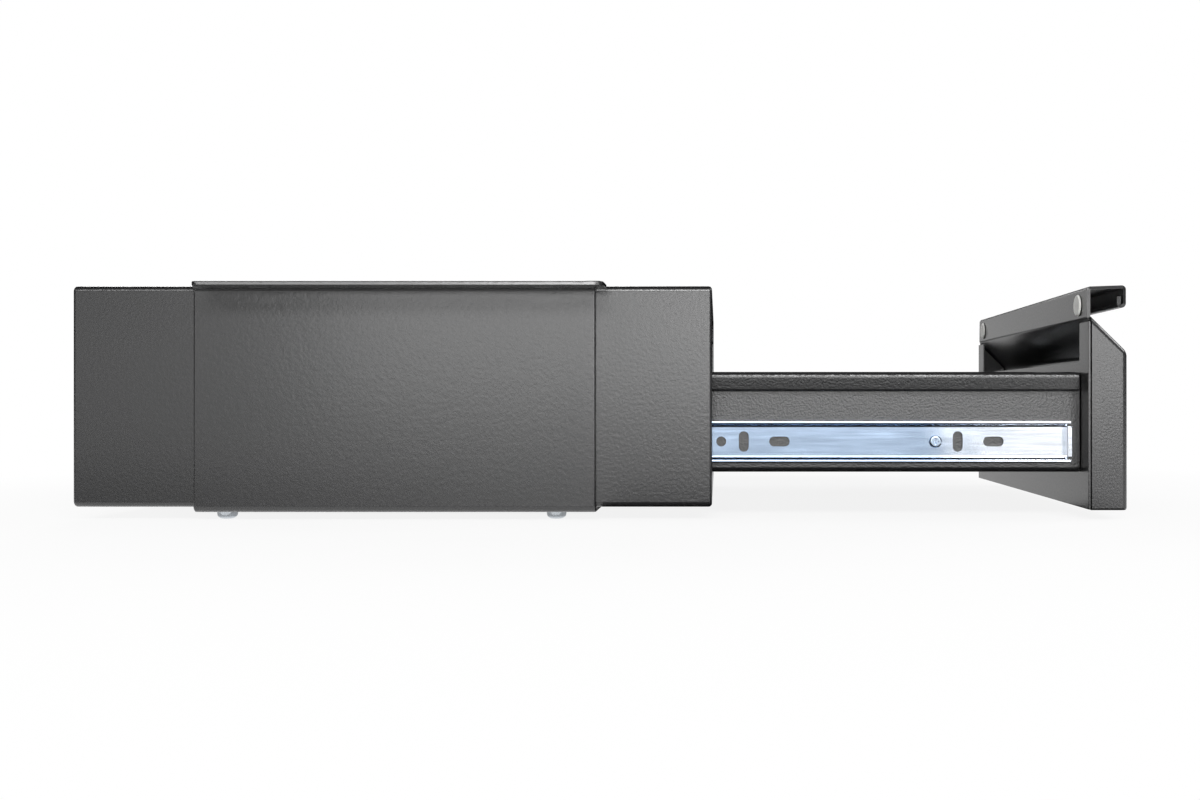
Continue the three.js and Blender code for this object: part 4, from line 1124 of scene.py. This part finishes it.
class SAFE_OT_lock_face(bpy.types.Operator):
    """Builds what shows of the lock: the enamelled plate, the five numbered buttons and the knob"""

    bl_idname = "safe.lock_face"
    bl_label = "Lock face"

    def execute(self, context):
        colours = context.scene.safe_colours
        chrome = satin_chrome(colours.chrome)
        low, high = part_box("lock_face_plate")
        plate = block("lock_plate", low, high)
        edit(plate)
        bevel_edges(lambda e: runs(e, 0), 10 * MM, 12)
        choose("faces", lambda f: f.normal.x > 0.9)
        inset(1.6 * MM)
        inset(0.6 * MM)
        bpy.ops.transform.translate(value=(-0.5 * MM, 0, 0))
        done()
        soften(plate, 0.4 * MM, 3)
        through = (0, low.x - MM, high.x + MM)
        bores = [drill("spindle", *through, 4.15 * MM, 48)]
        bores += [drill(f"button_{number}", *through, 4.8 * MM, 48) for number in BUTTONS]
        for number in LOCK_SCREWS:
            bores.append(drill(f"lock_screw_{number}", 0, low.x - MM, high.x - MM, SCREW_HOLE))
        cut(plate, *bores)
        enamel = plate_enamel("enamel_black", colours.enamel)
        dress(plate, "drawer", "plate_enamel", enamel, "lock_face_plate")

        low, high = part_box("button_1")
        _, by, bz = centre("button_1")
        cap_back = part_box("lock_face_plate")[0].x + 2.3 * MM
        cap_radius, sunk = 4.6 * MM, 0.25 * MM
        cap = rod("cap", (cap_back, by, bz), (high.x, by, bz), cap_radius, 48)
        edit(cap)
        choose("faces", lambda f: f.normal.x > 0.9)
        inset(0.9 * MM)
        inset(0.35 * MM)
        bpy.ops.transform.translate(value=(-sunk, 0, 0))
        bevel_edges(lambda e: lies_at(0, high.x)(e) and stands_off(by, bz, cap_radius)(e), 0.5 * MM, 5)
        choose("faces", lambda f: f.normal.x < -0.9)
        inset(2.6 * MM)
        extrude((low.x - cap_back, 0, 0))
        done()
        collar_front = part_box("lock_chamber")[1].x - 1.8 * MM
        collar = rod("collar", (collar_front - 1.2 * MM, by, bz), (collar_front, by, bz), 4 * MM, 48)
        soften(collar, 0.2 * MM, 2)
        weld(cap, collar)
        upright = (math.pi / 2, 0, math.pi / 2)
        marks = plate_enamel("enamel_numbers", colours.marks)
        for number in BUTTONS:
            y = centre(f"button_{number}")[1]
            button = moved(copy_of(cap, f"push_button_{number}"), (0, y - by, 0))
            dress(button, f"button_{number}", "satin_chrome", chrome, f"button_{number}")
            deselect()
            bpy.ops.object.text_add(location=(high.x - sunk, y, bz), rotation=upright)
            text = bpy.context.object
            text.data.body = str(number)
            text.data.size = 5.4 * MM
            text.data.extrude = 0.06 * MM
            text.data.align_x = "CENTER"
            text.data.align_y = "CENTER"
            bpy.ops.object.convert(target="MESH")
            digit = named(f"button_number_{number}")
            digit.data.materials.clear()
            digit.data.materials.append(marks)
            facing_out(digit)
            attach(digit, f"button_{number}")
        bpy.data.objects.remove(cap)

        low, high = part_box("turn_knob")
        _, y, z = centre("turn_knob")
        base, knob_radius = low.x + 5 * MM, 14.8 * MM
        knob = rod("lock_knob", (low.x, y, z), (base, y, z), knob_radius, 96)
        edit(knob)
        choose("faces", lambda f: f.normal.x > 0.9)
        inset(2.2 * MM)
        bpy.ops.transform.translate(value=(-0.6 * MM, 0, 0))
        bevel_edges(lambda e: stands_off(y, z, knob_radius)(e) and not runs(e, 0), 0.8 * MM, 4)
        done()
        wide, tall = 4.5 * MM, 13.6 * MM
        grip = block("grip", (low.x + MM, y - wide, z - tall), (high.x, y + wide, z + tall))
        edit(grip)
        choose("verts", lambda v: near(v.co.x, high.x))
        bpy.ops.transform.resize(value=(1, 0.72, 0.96), center_override=(high.x, y, z))
        bevel_edges(lambda e: abs((e.verts[1].co - e.verts[0].co).x) > 5 * MM, 2.6 * MM, 7)
        bevel_edges(lies_at(0, high.x), 1.4 * MM, 5)
        done()
        weld(knob, grip)
        mark = 0.5 * MM
        pointer_low = (high.x - mark, y - mark, z + 4 * MM)
        pointer = block("pointer", pointer_low, (high.x + MM, y + mark, z + 11 * MM))
        socket = rod("socket", (low.x - MM, y, z), (low.x + 12 * MM, y, z), 4.15 * MM, 48)
        cut(knob, pointer, socket)
        dress(knob, "knob", "satin_chrome", chrome, "turn_knob")
        return {"FINISHED"}


class SAFE_OT_lock_works(bpy.types.Operator):
    """Builds the lock's springs, bolt cover and cover screws, and refinishes the chamber, lock cover,
    spindle, crank, bolt and lock screws
    """

    bl_idname = "safe.lock_works"
    bl_label = "Lock works"

    def execute(self, context):
        colours = context.scene.safe_colours
        steel, zinc = bare_steel(colours.steel), zinc_plate("zinc_plate_clear", colours.screws)
        for node in ("lock_chamber", "lock_cover", "spindle", "crank", "bolt"):
            recoat(node, steel)
        for number in LOCK_SCREWS:
            recoat(f"lock_screw_{number}", zinc)

        low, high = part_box("button_spring_1")
        _, sy, sz = centre("button_spring_1")
        wire, turns, radius = 0.3 * MM, 4, 3.7 * MM
        start, upright = (low.x + wire, sy, sz + radius), (math.pi / 2, 0, 0)
        deselect()
        bpy.ops.mesh.primitive_circle_add(
            vertices=10, radius=wire, fill_type="NOTHING", location=start, rotation=upright
        )
        coil = named("coil")
        pitch = (high.x - low.x - 2 * wire) / turns
        edit(coil)
        choose_all()
        bpy.ops.transform.translate(value=(-low.x - wire, -sy, -sz))
        done()
        modify(
            coil,
            "SCREW",
            axis="X",
            angle=2 * math.pi,
            screw_offset=pitch,
            iterations=turns,
            steps=28,
            render_steps=28,
            use_merge_vertices=False,
            use_smooth_shade=True,
        )
        edit(coil)
        choose("edges", lambda e: len(e.link_faces) == 1)
        bpy.ops.mesh.edge_face_add()
        choose_all()
        bpy.ops.mesh.normals_make_consistent(inside=False)
        done()
        moved(coil, (low.x + wire, sy, sz))
        for number in BUTTONS:
            shift = (0, centre(f"button_spring_{number}")[1] - sy, 0)
            spring = moved(copy_of(coil, f"return_spring_{number}"), shift)
            dress(spring, "drawer", "bare_steel", steel, f"button_spring_{number}", smooth=60)
            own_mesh(spring)
        bpy.data.objects.remove(coil)

        low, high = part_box("bolt_cover")
        sheet = 1.2 * MM
        hat = block("cover", (low.x, low.y + 7 * MM, low.z), (high.x, high.y - 7 * MM, high.z))
        edit(hat)
        remove_faces(lambda f: f.normal.x > 0.9 or f.normal.z < -0.9)
        bevel_edges(lambda e: len(e.link_faces) == 2, 1.5 * MM, 4)
        done()
        thicken(hat, sheet, -1.0)
        soften(hat, 0.15 * MM, 2)
        feet = []
        for outer, way in ((low.y, 1), (high.y, -1)):
            start, end = sorted((outer, outer + way * 7.6 * MM))
            foot = block("foot", (high.x - sheet, start, low.z), (high.x, end, high.z))
            edit(foot)
            bevel_edges(lambda e: runs(e, 0) and near(middle(e).y, outer), 2 * MM, 5)
            done()
            soften(foot, 0.15 * MM, 2)
            feet.append(foot)
        hat.name = hat.data.name = "bolt_housing"
        weld(hat, *feet)
        through = (0, high.x - 3 * MM, high.x + MM)
        cut(hat, *[drill(f"bolt_cover_screw_{number}", *through, SCREW_HOLE) for number in COVER_SCREWS])
        dress(hat, "drawer", "zinc_plate", zinc, "bolt_cover")

        low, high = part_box("bolt_cover_screw_1")
        _, sy, sz = centre("bolt_cover_screw_1")
        radii, dome, recess = (2.8 * MM, 1.5 * MM), (0.8 * MM, 5), (1.0 * MM, 1.7 * MM)
        screw = pan_head_screw("cover_screw", (low.x, sy, sz), 0, high.x, 1.4 * MM, radii, dome, recess)
        for number in COVER_SCREWS:
            shift = (0, centre(f"bolt_cover_screw_{number}")[1] - sy, 0)
            one = moved(copy_of(screw, f"housing_screw_{number}"), shift)
            dress(one, "drawer", "zinc_plate", zinc, f"bolt_cover_screw_{number}")
        bpy.data.objects.remove(screw)
        return {"FINISHED"}


class SAFE_OT_stage(bpy.types.Operator):
    """Sets up the pale floor, the soft lamps, the world and the camera"""

    bl_idname = "safe.stage"
    bl_label = "Stage"

    def execute(self, context):
        scene = context.scene
        deselect()
        bpy.ops.mesh.primitive_plane_add(size=8, location=(0, 0.5, 0))
        floor = named("floor")
        floor.data.materials.append(self.floor_finish())
        tent = block("dark_tent", (-2.4, -3.0, -0.01), (2.4, 2.6, 2.6))
        edit(tent)
        for side, place in (((1, 0, 0), -0.9), ((1, 0, 0), -0.05), ((0, 0, 1), 0.7)):
            choose_all()
            bpy.ops.mesh.bisect(plane_co=Vector(side) * place, plane_no=side)
        remove_faces(lambda f: f.normal.z < -0.9)
        choose("faces", lambda f: f.normal.y > 0.9 and -0.9 < middle(f).x < -0.05 and middle(f).z < 0.7)
        bpy.ops.mesh.separate(type="SELECTED")
        done()
        window = next(one for one in bpy.context.selected_objects if one != tent)
        window.name = window.data.name = "window_gauze"
        tent.data.materials.append(self.cloth("tent_cloth", "#101010", "#181818", -1, 1))
        window.data.materials.append(self.gauze())
        cards = []
        for name, left, right, front, back, shade in (
            ("card_front", -1.5, 1.5, -0.38, -0.13, ("#808080", "#f0f0f0", -0.3, 0.25, 0.3)),
            ("card_case", -1.5, -0.012, -0.13, -0.05, ("#f4f4f4", "#f4f4f4", 0, 1, 0.4)),
            ("card_drawer", -0.012, 0.225, -0.26, -0.05, ("#262626", "#262626", 0, 1)),
            ("card_rear", -1.5, 1.5, -0.05, 0.6, None),
            ("card_far", -1.5, 1.5, 0.6, 2.5, ("#141414", "#141414", 0, 1)),
        ):
            height = 0.0013 if name == "card_drawer" else 0.001
            place = ((left + right) / 2, (front + back) / 2, height)
            deselect()
            bpy.ops.mesh.primitive_plane_add(size=1, location=place)
            card = named(name, (right - left, back - front, 1))
            card.data.materials.append(self.cloth(name, *shade) if shade else self.gauze())
            cards.append(card)
        for cloth in (tent, window, *cards):
            cloth.visible_camera = cloth.visible_diffuse = cloth.visible_shadow = False

        world = bpy.data.worlds.new("studio")
        scene.world = world
        world.use_nodes = True
        world.node_tree.nodes.clear()
        fill = add_node(world, "Background", {"Color": srgb("#ffffff"), "Strength": 0.14})
        white = add_node(world, "Background", {"Color": srgb("#ffffff"), "Strength": 1.0})
        seen = self.seen(world)
        mix = add_node(world, "MixShader", {}, {0: (seen, 0), 1: (fill, 0), 2: (white, 0)})
        add_node(world, "OutputWorld", {}, {"Surface": (mix, 0)})

        for name, place, aim, width, height, power in (
            ("key_softbox", (0.28, -1.55, 0.96), (0.06, -0.11, 0.06), 1.36, 0.36, 22.6),
            ("left_softbox", (-0.78, -1.55, 0.96), (-0.4, -0.11, 0.06), 0.75, 0.36, 5),
            ("front_panel_right", (0.50, -1.70, 0.205), (0.50, -0.11, 0.205), 1.1, 0.31, 5.35),
            ("front_panel_middle", (-0.35, -1.70, 0.205), (-0.35, -0.11, 0.205), 0.6, 0.31, 2.0),
            ("front_panel_left", (-1.05, -1.70, 0.205), (-1.05, -0.11, 0.205), 0.8, 0.31, 0.7),
            ("rear_softbox", (-0.7, 1.7, 1.1), (0.0, 0.1, 0.06), 1.2, 0.8, 12),
            ("side_softbox", (1.7, 0.2, 1.25), (0.2, 0.0, 0.06), 0.9, 0.7, 9),
        ):
            deselect()
            bpy.ops.object.light_add(type="AREA", location=place)
            lamp = bpy.context.object
            lamp.name = lamp.data.name = name
            lamp.data.shape = "RECTANGLE"
            lamp.data.size, lamp.data.size_y = width, height
            lamp.data.energy = power
            lamp.rotation_euler = (Vector(aim) - Vector(place)).to_track_quat("-Z", "Y").to_euler()

        deselect()
        eye, level = (0.03965, -0.654, 0.0521), (math.pi / 2, 0, 0)
        bpy.ops.object.camera_add(location=eye, rotation=level)
        camera = bpy.context.object
        camera.name = camera.data.name = "camera"
        camera.data.sensor_width = 36
        camera.data.lens = 36.8
        camera.data.shift_x = -0.0979
        camera.data.shift_y = 0.0017
        scene.camera = camera
        scene.view_settings.view_transform = "Standard"
        return {"FINISHED"}

    def seen(self, holder):
        """1 on camera, glossy and transmission rays, which then see the plain white background."""
        rays = add_node(holder, "LightPath")
        larger = {"operation": "MAXIMUM"}
        ends = {0: (rays, "Is Camera Ray"), 1: (rays, "Is Glossy Ray")}
        shown = add_node(holder, "Math", larger, ends)
        return add_node(holder, "Math", larger, {0: (shown, 0), 1: (rays, "Is Transmission Ray")})

    def floor_finish(self):
        """A matt white table: seen white, with a trace of the shadow that falls on it."""
        material, ready = start_material("floor_laminate")
        if ready:
            return material
        place = add_node(material, "TexCoord")
        grain = add_node(material, "TexNoise", {"Scale": 30.0, "Detail": 2.0}, {"Vector": (place, "Object")})
        tones = {"data_type": "RGBA", 6: srgb("#f3f3f3"), 7: srgb("#f6f6f6")}
        base = add_node(material, "Mix", tones, {0: (grain, "Fac")})
        matt = add_node(material, "BsdfDiffuse", {}, {"Color": (base, 2)})
        white = add_node(material, "Emission", {"Color": srgb("#ffffff"), "Strength": 1.0})
        reach = add_node(material, "VectorMath", {"operation": "LENGTH"}, {0: (place, "Object")})
        fade = {"From Min": 0.2, "From Max": 0.5, "To Min": 0.87, "To Max": 1.0}
        far = add_node(material, "MapRange", fade, {"Value": (reach, "Value")})
        both = {0: (self.seen(material), 0), 1: (far, "Result")}
        share = add_node(material, "Math", {"operation": "MULTIPLY"}, both)
        mix = add_node(material, "MixShader", {}, {0: (share, 0), 1: (matt, 0), 2: (white, 0)})
        add_node(material, "OutputMaterial", {}, {"Surface": (mix, 0)})
        return material

    def cloth(self, name, left, right, start, end, glow=0.0):
        """Card and cloth that only reflections meet, so that the edges and folds that mirror it go
        dark, or light where it glows."""
        material, ready = start_material(name)
        if ready:
            return material
        place = add_node(material, "TexCoord")
        parts = add_node(material, "SeparateXYZ", {}, {"Vector": (place, "Object")})
        span = {"From Min": start, "From Max": end}
        across = add_node(material, "MapRange", span, {"Value": (parts, "X")})
        tones = {"data_type": "RGBA", 6: srgb(left), 7: srgb(right)}
        base = add_node(material, "Mix", tones, {0: (across, "Result")})
        matt = add_node(material, "BsdfDiffuse", {}, {"Color": (base, 2)})
        shine = add_node(material, "Emission", {"Strength": glow}, {"Color": (base, 2)})
        both = add_node(material, "AddShader", {}, {0: (matt, 0), 1: (shine, 0)})
        add_node(material, "OutputMaterial", {}, {"Surface": (both, 0)})
        return material

    def gauze(self):
        """Black gauze across the tent's window: it lets a part of the white background through."""
        material, ready = start_material("window_gauze")
        if ready:
            return material
        place = add_node(material, "TexCoord")
        weave = add_node(material, "TexNoise", {"Scale": 4.0, "Detail": 1.0}, {"Vector": (place, "Object")})
        share = add_node(material, "MapRange", {"To Min": 0.36, "To Max": 0.42}, {"Value": (weave, "Fac")})
        thread = add_node(material, "BsdfDiffuse", {"Color": srgb("#141414")})
        gap = add_node(material, "BsdfTransparent")
        mix = add_node(material, "MixShader", {}, {0: (share, 0), 1: (gap, 0), 2: (thread, 0)})
        add_node(material, "OutputMaterial", {}, {"Surface": (mix, 0)})
        return material


class SAFE_PT_panel(bpy.types.Panel):
    """Lists the sizes and the colours, with a button for each operator"""

    bl_label = "Drawer safe"
    bl_space_type = "VIEW_3D"
    bl_region_type = "UI"
    bl_category = "Drawer safe"

    def draw(self, context):
        for group in (context.scene.safe_sizes, context.scene.safe_colours):
            box = self.layout.box()
            for name in group.__annotations__:
                box.prop(group, name)
        for operator in OPERATORS:
            self.layout.operator(operator.bl_idname)


OPERATORS = (
    SAFE_OT_case,
    SAFE_OT_bracket,
    SAFE_OT_bracket_screws,
    SAFE_OT_slides,
    SAFE_OT_tray,
    SAFE_OT_front,
    SAFE_OT_lock_face,
    SAFE_OT_lock_works,
    SAFE_OT_stage,
)
CLASSES = (SafeSizes, SafeColours, *OPERATORS, SAFE_PT_panel)


def register():
    for cls in CLASSES:
        bpy.utils.register_class(cls)
    bpy.types.Scene.safe_sizes = bpy.props.PointerProperty(type=SafeSizes)
    bpy.types.Scene.safe_colours = bpy.props.PointerProperty(type=SafeColours)


def unregister():
    del bpy.types.Scene.safe_sizes
    del bpy.types.Scene.safe_colours
    for cls in reversed(CLASSES):
        bpy.utils.unregister_class(cls)


def main():
    register()
    bpy.ops.safe.case()
    bpy.ops.safe.bracket()
    bpy.ops.safe.bracket_screws()
    bpy.ops.safe.slides()
    bpy.ops.safe.tray()
    bpy.ops.safe.front()
    bpy.ops.safe.lock_face()
    bpy.ops.safe.lock_works()
    bpy.ops.safe.stage()


if __name__ == "__main__":
    main()
